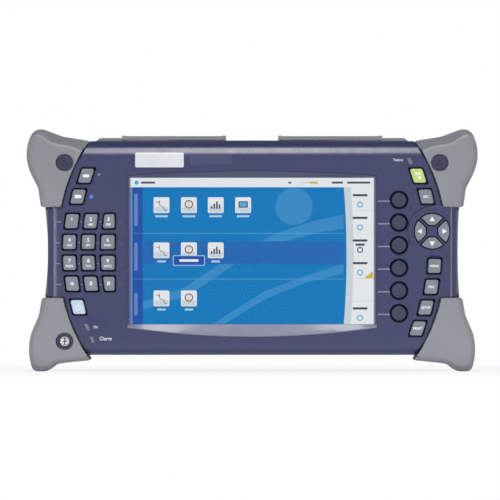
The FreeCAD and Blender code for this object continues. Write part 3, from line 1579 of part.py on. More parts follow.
def build():
    """Makes every sub-part."""
    outer, cavity, core, full = make_case()
    groove = seal_groove()
    make_front_cover(outer, cavity, groove, full)
    make_rear_cover(outer, cavity, groove)
    make_body_seal()
    make_display_frame()
    make_touch_window()
    make_lcd_panel()
    make_chassis()
    make_main_board()
    make_key_board()
    make_key_mats()
    for name, (kind, *place) in KEYS.items():
        make_key(name, kind, *place)
    make_status_leds()
    for upright in (1, -1):
        for side in (-1, 1):
            blind = upright < 0 < side
            hole_front = f"{HEAD_FRONT} - 0.6" if blind else "-overall_depth"
            make_bumper(upright, side, core, hole_front)
    make_bumper_plugs()
    make_case_screws()
    for side, name in ((-1, "left"), (1, "right")):
        make_door(side, name)
    make_dc_jack()
    make_stack()
    make_battery()
    make_loudspeaker()
    make_stand()
    make_module_case()
    make_optical_port()
    make_module_board()
    make_module_screws()
    make_port_cap()


def write():
    """Checks every object and writes one STEP file for each sub-part."""
    DOC.recompute()
    for thing in DOC.Objects:
        if "Invalid" in thing.State or "Error" in " ".join(thing.State):
            raise RuntimeError(f"{thing.Name} can't be made: {thing.State}")
        if hasattr(thing, "Shape") and not thing.Shape.isNull() and not thing.Shape.isValid():
            raise RuntimeError(f"{thing.Name} has a bad shape")
    os.makedirs("parts", exist_ok=True)
    for thing in SUB_PARTS:
        if thing.Shape.isNull() or not thing.Shape.Solids:
            raise RuntimeError(f"{thing.Label} has no solid")
        thing.Shape.exportStep(f"parts/{thing.Label}.step")
    print(f"{len(SUB_PARTS)} sub-parts written")


build()
write()
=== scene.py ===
"""Looks of a handheld optical time domain reflectometer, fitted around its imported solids."""

import logging
import math
from collections.abc import Iterable, Sequence
from dataclasses import dataclass, field
from enum import Enum

import bmesh
import bpy
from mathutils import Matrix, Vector
from mathutils.bvhtree import BVHTree


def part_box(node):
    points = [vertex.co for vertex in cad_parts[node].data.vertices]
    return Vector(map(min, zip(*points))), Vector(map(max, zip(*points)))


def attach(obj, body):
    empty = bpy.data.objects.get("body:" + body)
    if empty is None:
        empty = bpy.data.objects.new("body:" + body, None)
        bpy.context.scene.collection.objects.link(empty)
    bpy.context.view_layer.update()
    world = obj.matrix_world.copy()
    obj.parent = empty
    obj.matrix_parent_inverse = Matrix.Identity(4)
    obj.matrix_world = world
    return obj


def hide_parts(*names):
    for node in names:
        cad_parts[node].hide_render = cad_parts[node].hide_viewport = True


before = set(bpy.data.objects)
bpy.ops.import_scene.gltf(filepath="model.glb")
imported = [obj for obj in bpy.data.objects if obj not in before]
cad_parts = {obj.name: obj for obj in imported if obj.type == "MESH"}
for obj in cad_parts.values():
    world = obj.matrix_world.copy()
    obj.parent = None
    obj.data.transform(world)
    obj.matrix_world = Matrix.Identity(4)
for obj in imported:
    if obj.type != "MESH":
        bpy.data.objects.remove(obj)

log = logging.getLogger("reflectometer")
MM = 0.001
Point = tuple[float, float]
Colour = tuple[int, int, int]
Vert = bmesh.types.BMVert
Face = bmesh.types.BMFace
Verts = list[Vert]
Socket = bpy.types.NodeSocket
WHITE = (1, 1, 1, 1)
FRONT = -44.0
INK = 0.08


def evenly(low: float, high: float, parts: int) -> list[float]:
    """Gives the ends of a span and the places that part it evenly."""
    return [low + (high - low) * k / parts for k in range(parts + 1)]


def on_circle(centre: Point, radius: float, turn: float) -> Point:
    """Gives the place on a circle at a turn in degrees from +X towards +Z."""
    angle = math.radians(turn)
    return centre[0] + radius * math.cos(angle), centre[1] + radius * math.sin(angle)


def shifted(centre: Point, shape: Iterable[Point]) -> list[Point]:
    """Gives the places of a shape that is drawn around a centre."""
    return [(centre[0] + x, centre[1] + z) for x, z in shape]


def place(name: str, data: bpy.types.ID) -> bpy.types.Object:
    """Puts an object in the scene.

    Args:
        name: Its name.
        data: The mesh, lettering, light or camera that it shows.

    Returns:
        The object.
    """
    made = bpy.data.objects.new(name, data)
    bpy.context.scene.collection.objects.link(made)
    return made


def worked_out(holder: bpy.types.Object) -> bpy.types.Mesh:
    """Takes an object out of the scene and keeps the mesh that it ends up with.

    Args:
        holder: The object, with its modifiers or its lettering.

    Returns:
        The mesh.
    """
    graph = bpy.context.evaluated_depsgraph_get()
    mesh = bpy.data.meshes.new_from_object(holder.evaluated_get(graph))
    bpy.data.objects.remove(holder)
    return mesh


def linear(value: float) -> float:
    """Turns one sRGB channel from 0 to 255 into scene-linear light."""
    share = max(0.0, min(1.0, value / 255))
    return share / 12.92 if share <= 0.04045 else ((share + 0.055) / 1.055) ** 2.4


class Surface(Enum):
    """The ways in which a finish meets light."""

    MOULDED = "moulded"
    RUBBER = "rubber"
    BRUSHED = "brushed"
    PRINTED = "printed"
    LIT = "lit"
    CLEAR = "clear"


@dataclass(frozen=True)
class Finish:
    """One finish: its colour, how it shines and the grain that it carries.

    Attributes:
        label: The name that the material gets.
        colour: The sRGB colour.
        surface: How it meets light.
        roughness: The middle roughness.
        metallic: 1 for bare metal.
        mottle: How far the colour drifts over some centimetres, as a share.
        grain: The size of the grain in millimetres.
        depth: The depth of the grain in millimetres.
        coat: The weight of a clear coat.
        index: The refractive index, which sets how much it mirrors.
        slot: The record's material slot.
    """

    label: str
    colour: Colour
    surface: Surface = Surface.MOULDED
    roughness: float = 0.42
    metallic: float = 0.0
    mottle: float = 0.05
    grain: float = 0.35
    depth: float = 0.012
    coat: float = 0.0
    index: float = 1.5
    slot: str = ""

    def shade(self, factor: float) -> tuple[float, float, float, float]:
        """Gives the linear colour times a factor, with an alpha of 1."""
        red, green, blue = (min(1.0, linear(c) * factor) for c in self.colour)
        return red, green, blue, 1.0

    def material(self) -> bpy.types.Material:
        """Builds the finish's node material, once.

        Returns:
            The material of this finish.
        """
        known = bpy.data.materials.get(self.label)
        if known is not None:
            return known
        made = bpy.data.materials.new(self.label)
        made.use_nodes = True
        made.diffuse_color = self.shade(1.0)
        Wiring(made.node_tree, self).build()
        return made


class Graph:
    """A node tree in the making."""

    def __init__(self, tree: bpy.types.NodeTree) -> None:
        """Empties the tree."""
        self.tree = tree
        tree.nodes.clear()

    def add(self, kind: str, inputs: dict[str | int, object] | None = None, **values: object) -> bpy.types.Node:
        """Adds a node.

        Args:
            kind: The node type, without Blender's prefix.
            inputs: What its inputs hold, or the sockets that feed them.
            values: Its properties, which are set first.

        Returns:
            The node.
        """
        node = self.tree.nodes.new(f"ShaderNode{kind}")
        for key, value in values.items():
            setattr(node, key, value)
        for key, value in (inputs or {}).items():
            if isinstance(value, Socket):
                self.tree.links.new(value, node.inputs[key])
            else:
                node.inputs[key].default_value = value
        return node

    def math(self, operation: str, *inputs: object) -> Socket:
        """Adds a sum of one kind and gives its result."""
        return self.add("Math", dict(enumerate(inputs)), operation=operation).outputs[0]

    def remap(self, source: Socket, given: tuple[float, float], wanted: tuple[float, float]) -> Socket:
        """Maps one range of a value to another."""
        (low, high), (first, last) = given, wanted
        return self.add("MapRange", {"Value": source, "From Min": low, "From Max": high, "To Min": first,
                                     "To Max": last}).outputs["Result"]

    def blend(self, share: object, first: bpy.types.Node, second: bpy.types.Node) -> Socket:
        """Mixes what two shaders give."""
        return self.add("MixShader", {0: share, 1: first.outputs[0], 2: second.outputs[0]}).outputs[0]


class Wiring(Graph):
    """Lays out the nodes of one finish."""

    even = (1, 1, 1)
    brushed = (0.04, 1, 1)

    def __init__(self, tree: bpy.types.NodeTree, finish: Finish) -> None:
        """Empties the tree and keeps the finish."""
        super().__init__(tree)
        self.finish = finish

    def noise(self, size: float, stretch: Sequence[float] = even, detail: float = 3.0) -> Socket:
        """Adds noise on Object coordinates.

        Args:
            size: The size of its features in millimetres.
            stretch: How much finer it is along each axis.
            detail: Its octaves.

        Returns:
            The noise's factor.
        """
        spot = self.add("TexCoord").outputs["Object"]
        turn = self.add("Mapping", {"Vector": spot, "Scale": tuple(s / (size * MM) for s in stretch)})
        grain = self.add("TexNoise", {"Vector": turn.outputs["Vector"], "Scale": 1.0, "Detail": detail})
        return grain.outputs["Fac"]

    def spread(self, source: Socket, low: float, high: float) -> Socket:
        """Maps the middle range of a noise to low and high."""
        return self.remap(source, (0.3, 0.7), (low, high))

    def tint(self) -> Socket:
        """Varies the finish's colour by its mottle over some centimetres.

        Returns:
            The colour.
        """
        share = self.spread(self.noise(28.0, detail=4.0), 0.0, 1.0)
        dark, pale = (self.finish.shade(1 + way * self.finish.mottle) for way in (-1, 1))
        return self.add("Mix", {0: share, 6: dark, 7: pale}, data_type="RGBA").outputs[2]

    def grained(self) -> dict[str, object]:
        """Lays out a fine grain and an uneven roughness.

        Returns:
            The shader's inputs for them.
        """
        finish = self.finish
        is_brushed = finish.surface is Surface.BRUSHED
        stretch, swing = (self.brushed, 0.10) if is_brushed else (self.even, 0.02)
        rough = self.spread(self.noise(6.0, stretch), finish.roughness - swing, finish.roughness + swing)
        bump = self.add("Bump", {"Strength": 0.5, "Distance": finish.depth * MM,
                                 "Height": self.noise(finish.grain, stretch, 2.0)})
        sheen = {"Sheen Weight": 0.12, "Sheen Roughness": 0.5} if finish.surface is Surface.RUBBER else {}
        return {"Roughness": rough, "Normal": bump.outputs["Normal"], **sheen}

    def build(self) -> None:
        """Lays out the nodes for the finish's surface."""
        finish, colour = self.finish, self.tint()
        inputs = {"Metallic": finish.metallic, "Coat Weight": finish.coat, "Coat Roughness": 0.12,
                  "IOR": finish.index}
        if finish.surface is Surface.LIT:
            inputs |= {"Base Color": (0.01, 0.01, 0.012, 1), "Roughness": 0.5, "Emission Strength": 1.05,
                       "Specular IOR Level": 0.0, "Emission Color": colour}
        elif finish.surface is Surface.CLEAR:
            inputs |= {"Base Color": colour, "Roughness": finish.roughness}
        else:
            inputs |= {"Base Color": colour, **self.grained()}
        shader = self.add("BsdfPrincipled", inputs)
        result = shader.outputs["BSDF"]
        if finish.surface is Surface.CLEAR:
            result = self.blend(0.08, self.add("BsdfTransparent"), shader)
        self.add("OutputMaterial", {"Surface": result})


def bumper_rubber(label: str, colour: Colour, roughness: float = 0.62) -> Finish:
    """Gives one of the tones of the bumpers."""
    return Finish(label, colour, Surface.RUBBER, roughness, mottle=0.04, grain=0.6, depth=0.02,
                  slot="bumper_grey")


def ink(label: str, colour: Colour, slot: str = "case_blue", roughness: float = 0.5, coat: float = 0.0) -> Finish:
    """Gives a finish that is printed or stuck on; the plugs' pits use it for painted shade."""
    return Finish(label, colour, Surface.PRINTED, roughness, coat=coat, slot=slot)


def metal(label: str, colour: Colour, roughness: float, slot: str, metallic: float = 1.0,
          grain: float = 0.35) -> Finish:
    """Gives a brushed metal."""
    return Finish(label, colour, Surface.BRUSHED, roughness, metallic, grain=grain, slot=slot)


def lit(label: str, colour: Colour, mottle: float = 0.02) -> Finish:
    """Gives a tone of the screen's picture."""
    return Finish(f"ui_{label}", colour, Surface.LIT, mottle=mottle, slot="panel_dark")


CASE_BLUE = Finish("case_blue_plastic", (50, 53, 94), roughness=0.26, mottle=0.02, depth=0.004, index=1.48,
                   slot="case_blue")
SHELL_GREY = Finish("shell_grey_plastic", (152, 155, 160), roughness=0.5, slot="shell_grey")
BUMPER_GREY = bumper_rubber("bumper_rubber", (136, 139, 145))
KEY_GREY = Finish("key_grey_plastic", (123, 127, 138), roughness=0.4, slot="key_grey")
BUMPER_SHADE = bumper_rubber("bumper_rubber_shaded", (120, 123, 129))
# A paler rubber for the band under the bumpers' crease: a painted highlight.
BUMPER_LIGHT = bumper_rubber("bumper_rubber_painted_highlight", (150, 153, 158), 0.58)
# A dark blue for the grooves between the bumpers and the case: painted shade.
GROOVE_SHADE = Finish("groove_painted_shade", (30, 31, 56), roughness=0.6, slot="bumper_grey")
KEY_SKIRT = Finish("key_skirt", (48, 49, 78), roughness=0.6, slot="key_grey")
SOFT_CAP = Finish("soft_key_cap", (38, 37, 72), roughness=0.45, slot="soft_key_blue")
POWER_CAP = Finish("power_key_cap", (186, 206, 224), roughness=0.4, slot="power_key_pale")
START_CAP = Finish("start_key_cap", (190, 208, 120), roughness=0.4, slot="start_key_green")
FRAME_SILVER = Finish("frame_silver_paint", (128, 131, 152), roughness=0.36, coat=0.15, slot="frame_silver")
# The case's blue on the frame's outer sides, and on its top crescent as painted shade.
FRAME_BLUE_SHADE = Finish("frame_case_blue_and_shade", (62, 64, 98), roughness=0.4, slot="frame_silver")
PANE = Finish("pane_clear", (14, 18, 26), Surface.CLEAR, 0.12, mottle=0.01, slot="window_clear")
PANEL_DARK = Finish("panel_dark_glass", (18, 20, 26), roughness=0.2, slot="panel_dark")
BOARD_GREEN = Finish("board_solder_mask", (24, 78, 46), roughness=0.35, slot="board_green")
CHASSIS_METAL = metal("chassis_sheet", (150, 152, 155), 0.38, "chassis_metal")
MAT_SILICONE = Finish("mat_silicone", (52, 53, 84), Surface.RUBBER, 0.6, slot="mat_silicone")
BATTERY_BLACK = Finish("battery_wrap", (28, 29, 32), roughness=0.5, slot="battery_black")
SEAL_BLACK = Finish("seal_rubber", (26, 27, 36), Surface.RUBBER, 0.7, slot="seal_black")
PLUG_DARK = Finish("plug_dark_rubber", (32, 33, 66), Surface.RUBBER, 0.55, slot="plug_dark")
# Dark discs for the plugs' pits: painted shade.
PLUG_PIT_SHADE = ink("plug_pit_painted_shade", (10, 10, 26), "plug_dark")
SCREW_HEAD = metal("screw_head_steel", (188, 190, 194), 0.34, "screw_steel", 0.8, grain=0.2)
# Dark steel for the bare screw's slot: painted shade.
SCREW_SLOT_SHADE = metal("screw_slot_painted_shade", (70, 72, 82), 0.5, "screw_steel", 0.6)
SCREW_STEEL = metal("screw_plated_steel", (196, 198, 201), 0.3, "screw_steel", grain=0.2)
CONNECTOR_BLACK = Finish("connector_black", (24, 24, 27), roughness=0.45, slot="connector_black")
CONNECTOR_METAL = metal("connector_shell", (190, 190, 188), 0.28, "connector_metal")
MODULE_GREY = Finish("module_grey_plastic", (120, 124, 132), roughness=0.52, slot="module_grey")
LABEL_SILVER = ink("label_silver", (196, 198, 202), "module_grey", 0.45)
LABEL_LINE = ink("label_line", (92, 95, 104), "module_grey")
PORT_NICKEL = metal("port_nickel", (188, 186, 178), 0.25, "port_nickel")
CAP_DARK = Finish("cap_dark_plastic", (40, 41, 48), roughness=0.5, slot="cap_dark")
STAND_DARK = Finish("stand_dark_plastic", (50, 52, 60), roughness=0.5, slot="stand_dark")
LAMP_SMOKE = Finish("lamp_smoke", (24, 24, 44), roughness=0.5, index=1.3, slot="lamp_smoke")
LAMP_DOT = Finish("lamp_diode", (96, 98, 124), roughness=0.4, slot="lamp_smoke")
LEGEND_WHITE = ink("legend_white_ink", (240, 242, 246), "key_grey")
PRINT_LAVENDER = ink("print_lavender_ink", (128, 132, 160))
PRINT_FAINT = ink("print_faint_ink", (70, 73, 112))
PRINT_PALE = ink("print_pale_ink", (206, 212, 226))
PRINT_BLUE = ink("print_blue_ink", (60, 130, 205))
BADGE_WHITE = ink("badge_white", (219, 223, 227), roughness=0.3, coat=0.3)
PATCH_DARK = ink("patch_dark", (58, 61, 100), roughness=0.4)

UI_BLUE = lit("blue", (2, 124, 194))
UI_SWELL = lit("swell", (55, 142, 204), 0.03)
UI_SWELL_PALE = lit("swell_pale", (84, 160, 214), 0.03)
UI_DEEP = lit("deep", (28, 84, 172))
UI_BAND = lit("band", (30, 106, 184))
UI_TAB = lit("tab", (104, 138, 198))
UI_WHITE = lit("white", (236, 240, 243), 0.01)
UI_SHADE = lit("shade", (208, 218, 226), 0.01)
UI_CAPTION = lit("caption", (176, 214, 240), 0.01)
UI_INK = lit("ink", (72, 78, 92))
UI_YELLOW = lit("yellow", (214, 178, 60))
UI_SKY = lit("sky", (92, 170, 222))


class Skin:
    """The outer surface of a piece, for prints and plates that lie on it."""

    def __init__(self, piece: bpy.types.Object) -> None:
        """Reads the surface of a piece."""
        corners = [v.co.copy() for v in piece.data.vertices]
        self.tree = BVHTree.FromPolygons(corners, [tuple(p.vertices) for p in piece.data.polygons])

    def front(self, x: float, z: float, default: float) -> float:
        """Finds how far forward the surface lies.

        Args:
            x: Place across, in millimetres.
            z: Height, in millimetres.
            default: What is given where nothing is met.

        Returns:
            The surface's Y in millimetres.
        """
        hit = self.tree.ray_cast(Vector((x * MM, -0.08, z * MM)), Vector((0, 1, 0)))[0]
        return default if hit is None else hit.y / MM


class Form:
    """A mesh in the making, in millimetres, whose faces each have a finish."""

    def __init__(self) -> None:
        """Starts an empty mesh."""
        self.mesh = bmesh.new()
        self.finishes: list[Finish] = []

    def index(self, finish: Finish) -> int:
        """Gives the material index of a finish, adding it if it is new.

        Args:
            finish: The finish.

        Returns:
            Its index.
        """
        if finish not in self.finishes:
            self.finishes.append(finish)
        return self.finishes.index(finish)

    def paint(self, faces: Iterable[Face], finish: Finish) -> None:
        """Gives faces a finish.

        Args:
            faces: The faces.
            finish: What they get.
        """
        slot = self.index(finish)
        for face in faces:
            face.material_index = slot

    def solid_of(self, node: str, finish: Finish, whole: bool = True) -> Verts:
        """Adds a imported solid's mesh, merged.

        Args:
            node: The CAD node.
            finish: The finish of its faces.
            whole: Whether its flat areas become single faces.

        Returns:
            The new vertices.
        """
        part = bmesh.new()
        part.from_mesh(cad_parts[node].data)
        bmesh.ops.remove_doubles(part, verts=part.verts, dist=2e-6)
        if whole:
            bmesh.ops.dissolve_limit(part, angle_limit=math.radians(0.3), use_dissolve_boundaries=False,
                                     verts=part.verts, edges=part.edges, delimit=set())
        bmesh.ops.scale(part, vec=(1 / MM,) * 3, verts=part.verts)
        holder = bpy.data.meshes.new("holder")
        part.to_mesh(holder)
        part.free()
        return self.take(holder, finish)

    def take(self, mesh: bpy.types.Mesh, finish: Finish) -> Verts:
        """Adds a mesh in millimetres, and removes it from the file.

        Args:
            mesh: The mesh.
            finish: The finish of its faces.

        Returns:
            The new vertices.
        """
        verts, faces = len(self.mesh.verts), len(self.mesh.faces)
        self.mesh.from_mesh(mesh)
        bpy.data.meshes.remove(mesh)
        self.mesh.verts.ensure_lookup_table()
        self.mesh.faces.ensure_lookup_table()
        self.paint(self.mesh.faces[faces:], finish)
        return self.mesh.verts[verts:]

    def plate(self, outline: Sequence[Point], front: float, depth: float, finish: Finish,
              corner: float = 0.0, segments: int = 4) -> Verts:
        """Adds a flat plate that faces forwards.

        Args:
            outline: Its X and Z corners.
            front: The Y of its face.
            depth: How far it goes back, or forward if negative.
            finish: Its finish.
            corner: The radius of its corners.
            segments: The steps of each rounded corner.

        Returns:
            Its vertices.
        """
        ring = [self.mesh.verts.new((x, front, z)) for x, z in outline]
        face = self.mesh.faces.new(ring)
        if corner > 0:
            done = bmesh.ops.bevel(self.mesh, geom=ring, offset=corner, offset_type="OFFSET", affect="VERTICES",
                                   segments=segments, profile=0.5, material=-1, clamp_overlap=True)
            face = max((f for v in done["verts"] for f in v.link_faces), key=lambda f: f.calc_area())
        return self.thicken([face], list(face.verts), depth, finish)

    def thicken(self, faces: Sequence[Face], around: Verts, depth: float, finish: Finish) -> Verts:
        """Gives flat faces a depth.

        Args:
            faces: The faces.
            around: Their vertices.
            depth: How far they go back.
            finish: The finish of all sides.

        Returns:
            The vertices of both sides.
        """
        grown = bmesh.ops.extrude_face_region(self.mesh, geom=faces, use_keep_orig=True)["geom"]
        moved = [g for g in grown if isinstance(g, Vert)]
        bmesh.ops.translate(self.mesh, vec=(0, depth, 0), verts=moved)
        every = around + moved
        sides = {f for v in every for f in v.link_faces}
        bmesh.ops.recalc_face_normals(self.mesh, faces=list(sides))
        self.paint(sides, finish)
        return every

    def bar(self, low: Point, high: Point, front: float, finish: Finish, corner: float = 0.0,
            depth: float = INK) -> Verts:
        """Adds an upright rectangle with its low and high corners at X and Z."""
        (x0, z0), (x1, z1) = low, high
        return self.plate([(x0, z0), (x1, z0), (x1, z1), (x0, z1)], front, depth, finish, corner)

    def disc(self, centre: Point, radius: float, front: float, finish: Finish, depth: float = INK,
             inner: float = 0.0, start: float = 0.0, sweep: float = 360.0) -> Verts:
        """Adds a disc, a ring or an arc of a ring.

        Args:
            centre: Its X and Z.
            radius: The outer radius.
            front: The Y of its face.
            finish: Its finish.
            depth: How far it goes back.
            inner: The inner radius, 0 for a disc.
            start: Where an arc starts, in degrees from +X towards +Z.
            sweep: How far it goes round.

        Returns:
            Its vertices.
        """
        steps = max(8, round(sweep / 10))
        turns = evenly(start, start + sweep, steps)
        if not inner:
            return self.plate([on_circle(centre, radius, t) for t in turns[:-1]], front, depth, finish)
        made: Verts = []
        for one, other in zip(turns, turns[1:]):
            corners = ((radius, one), (radius, other), (inner, other), (inner, one))
            made += self.plate([on_circle(centre, *corner) for corner in corners], front, depth, finish)
        bmesh.ops.remove_doubles(self.mesh, verts=[v for v in made if v.is_valid], dist=1e-4)
        return [v for v in made if v.is_valid]

    def stroke(self, path: Sequence[Point], width: float, front: float, finish: Finish,
               depth: float = INK) -> Verts:
        """Adds a flat line along a path.

        Args:
            path: Its middle's X and Z.
            width: How wide it is.
            front: The Y of its face.
            finish: Its finish.
            depth: How far it goes back.

        Returns:
            Its vertices.
        """
        left: list[Point] = []
        right: list[Point] = []
        for k, (x, z) in enumerate(path):
            x0, z0 = path[max(k - 1, 0)]
            x1, z1 = path[min(k + 1, len(path) - 1)]
            length = math.hypot(x1 - x0, z1 - z0)
            dx, dz = (x1 - x0) / length * width / 2, (z1 - z0) / length * width / 2
            left.append((x - dz, z + dx))
            right.append((x + dz, z - dx))
        rails = [[self.mesh.verts.new((x, front, z)) for x, z in rail] for rail in (left, right)]
        faces = [self.mesh.faces.new((rails[0][k], rails[0][k + 1], rails[1][k + 1], rails[1][k]))
                 for k in range(len(path) - 1)]
        return self.thicken(faces, rails[0] + rails[1], depth, finish)

    def lettering(self, words: str, centre: Point, height: float, front: float, finish: Finish,
                  widest: float = 1e3, weight: float = 0.02, depth: float = INK) -> Verts:
        """Adds raised lettering that faces forwards.

        Args:
            words: What it says.
            centre: Its middle's X and Z.
            height: The height of its capitals.
            front: The Y of its face.
            finish: Its finish.
            widest: The most room it takes across.
            weight: How much bolder its strokes are, as a share of the size.
            depth: How far it goes back.

        Returns:
            Its vertices.
        """
        curve = bpy.data.curves.new("words", "FONT")
        curve.body = words
        curve.offset = weight
        curve.resolution_u = 3
        curve.extrude = 0.5
        mesh = worked_out(place("words", curve))
        bpy.data.curves.remove(curve)
        verts = self.take(mesh, finish)
        low, high = (Vector(tuple(end(v.co[i] for v in verts) for i in range(3))) for end in (min, max))
        capitals = 0.72
        scale = height / capitals
        wide = min(scale, widest / (high.x - low.x))
        middle = (low + high) / 2
        for v in verts:
            x, y, z = v.co - middle
            v.co = Vector((centre[0] + x * wide, front + depth / 2 - z * depth, centre[1] + y * scale))
        return verts

    def drape(self, verts: Iterable[Vert], skin: Skin, base: float) -> None:
        """Moves vertices so that they follow a skin.

        Args:
            verts: The vertices.
            skin: What they follow.
            base: The Y of the plane that they were drawn over.
        """
        for v in verts:
            if v.is_valid:
                v.co.y += skin.front(v.co.x, v.co.z, base) - base

    def slice(self, verts: Iterable[Vert], heights: Iterable[float]) -> Verts:
        """Cuts a plate at some heights, so that it can bend there.

        Args:
            verts: The plate's vertices.
            heights: Where it is cut.

        Returns:
            The plate's vertices with the new ones.
        """
        known = {v for v in verts if v.is_valid}
        for height in heights:
            known |= self.cut((0, 0, height), (0, 0, 1), {f for v in known for f in v.link_faces})
            known = {v for v in known if v.is_valid}
        return list(known)

    def cut(self, spot: Sequence[float], across: Sequence[float],
            faces: Iterable[Face] | None = None) -> set[Vert]:
        """Cuts faces along a plane.

        Args:
            spot: A place on the plane.
            across: The direction that it is square to.
            faces: The faces, or None for all of them.

        Returns:
            The vertices on the plane.
        """
        chosen = set(self.mesh.faces if faces is None else faces)
        edges = {e for f in chosen for e in f.edges}
        verts = {v for f in chosen for v in f.verts}
        made = bmesh.ops.bisect_plane(self.mesh, geom=[*verts, *edges, *chosen], dist=1e-4, plane_co=spot,
                                      plane_no=across)
        return {g for g in made["geom_cut"] if isinstance(g, Vert)}

    def piece(self, name: str, body: str, slot: str, replaces: Sequence[str] = (), smooth: float = 32.0,
              bevel: float = 0.0) -> bpy.types.Object:
        """Makes the object and lets it ride on its body.

        Args:
            name: The piece's name.
            body: The CAD body that carries it.
            slot: The record's material slot; not used.
            replaces: The CAD nodes that it stands for.
            smooth: The angle above which an edge stays sharp, in degrees.
            bevel: The width of the rounding of its sharp edges, in millimetres.

        Returns:
            The object.
        """
        bmesh.ops.scale(self.mesh, vec=(MM,) * 3, verts=self.mesh.verts)
        mesh = bpy.data.meshes.new(name)
        self.mesh.to_mesh(mesh)
        self.mesh.free()
        mesh.shade_smooth()
        mesh.set_sharp_from_angle(angle=math.radians(smooth))
        for finish in self.finishes:
            mesh.materials.append(finish.material())
        made = place(name, mesh)
        if bevel > 0:
            round_off = made.modifiers.new("rounded_edges", "BEVEL")
            round_off.width = bevel * MM
            round_off.segments = 2
            round_off.limit_method = "ANGLE"
            round_off.angle_limit = math.radians(smooth)
            round_off.harden_normals = True
            round_off.use_clamp_overlap = True
        flatten = made.modifiers.new("even_shading", "WEIGHTED_NORMAL")
        flatten.keep_sharp = True
        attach(made, body)
        if replaces:
            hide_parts(*replaces)
        log.info("%s: %d faces on %s", name, len(mesh.polygons), body)
        return made


def dress(node: str, name: str, body: str, finish: Finish, bevel: float = 0.0) -> bpy.types.Object:
    """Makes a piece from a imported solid, with its edges rounded off.

    Args:
        node: The CAD node that it stands for.
        name: The piece's name.
        body: The CAD body that carries it.
        finish: Its finish.
        bevel: The rounding of its sharp edges in millimetres.

    Returns:
        The piece.
    """
    form = Form()
    form.solid_of(node, finish)
    return form.piece(name, body, finish.slot, [node], bevel=bevel)


def keep(node: str, finish: Finish) -> None:
    """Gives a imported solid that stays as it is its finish.

    Args:
        node: The CAD node.
        finish: Its finish.
    """
    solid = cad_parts[node]
    solid.data.materials.clear()
    solid.data.materials.append(finish.material())
    log.info("%s: kept as packed", node)


def middle(node: str) -> tuple[Point, float]:
    """Finds where a node lies, in millimetres.

    Args:
        node: The CAD node.

    Returns:
        Its middle's X and Z, and the Y of its front.
    """
    low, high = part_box(node)
    centre = (low + high) / 2 / MM
    return (centre.x, centre.z), low.y / MM


KEY_SIZES: dict[str, float] = {node: 5.5 for node in (
    *(f"digit_{number}" for number in range(1, 10)), "star_key", "digit_0", "hash_key",
    *(f"side_key_{number}" for number in range(1, 6)))}
KEY_SIZES |= {"power_key": 6.2, "start_key": 6.2, "function_key_1": 6.0, "function_key_2": 6.0}
KEY_SIZES |= {f"soft_key_{number}": 5.6 for number in range(1, 7)}


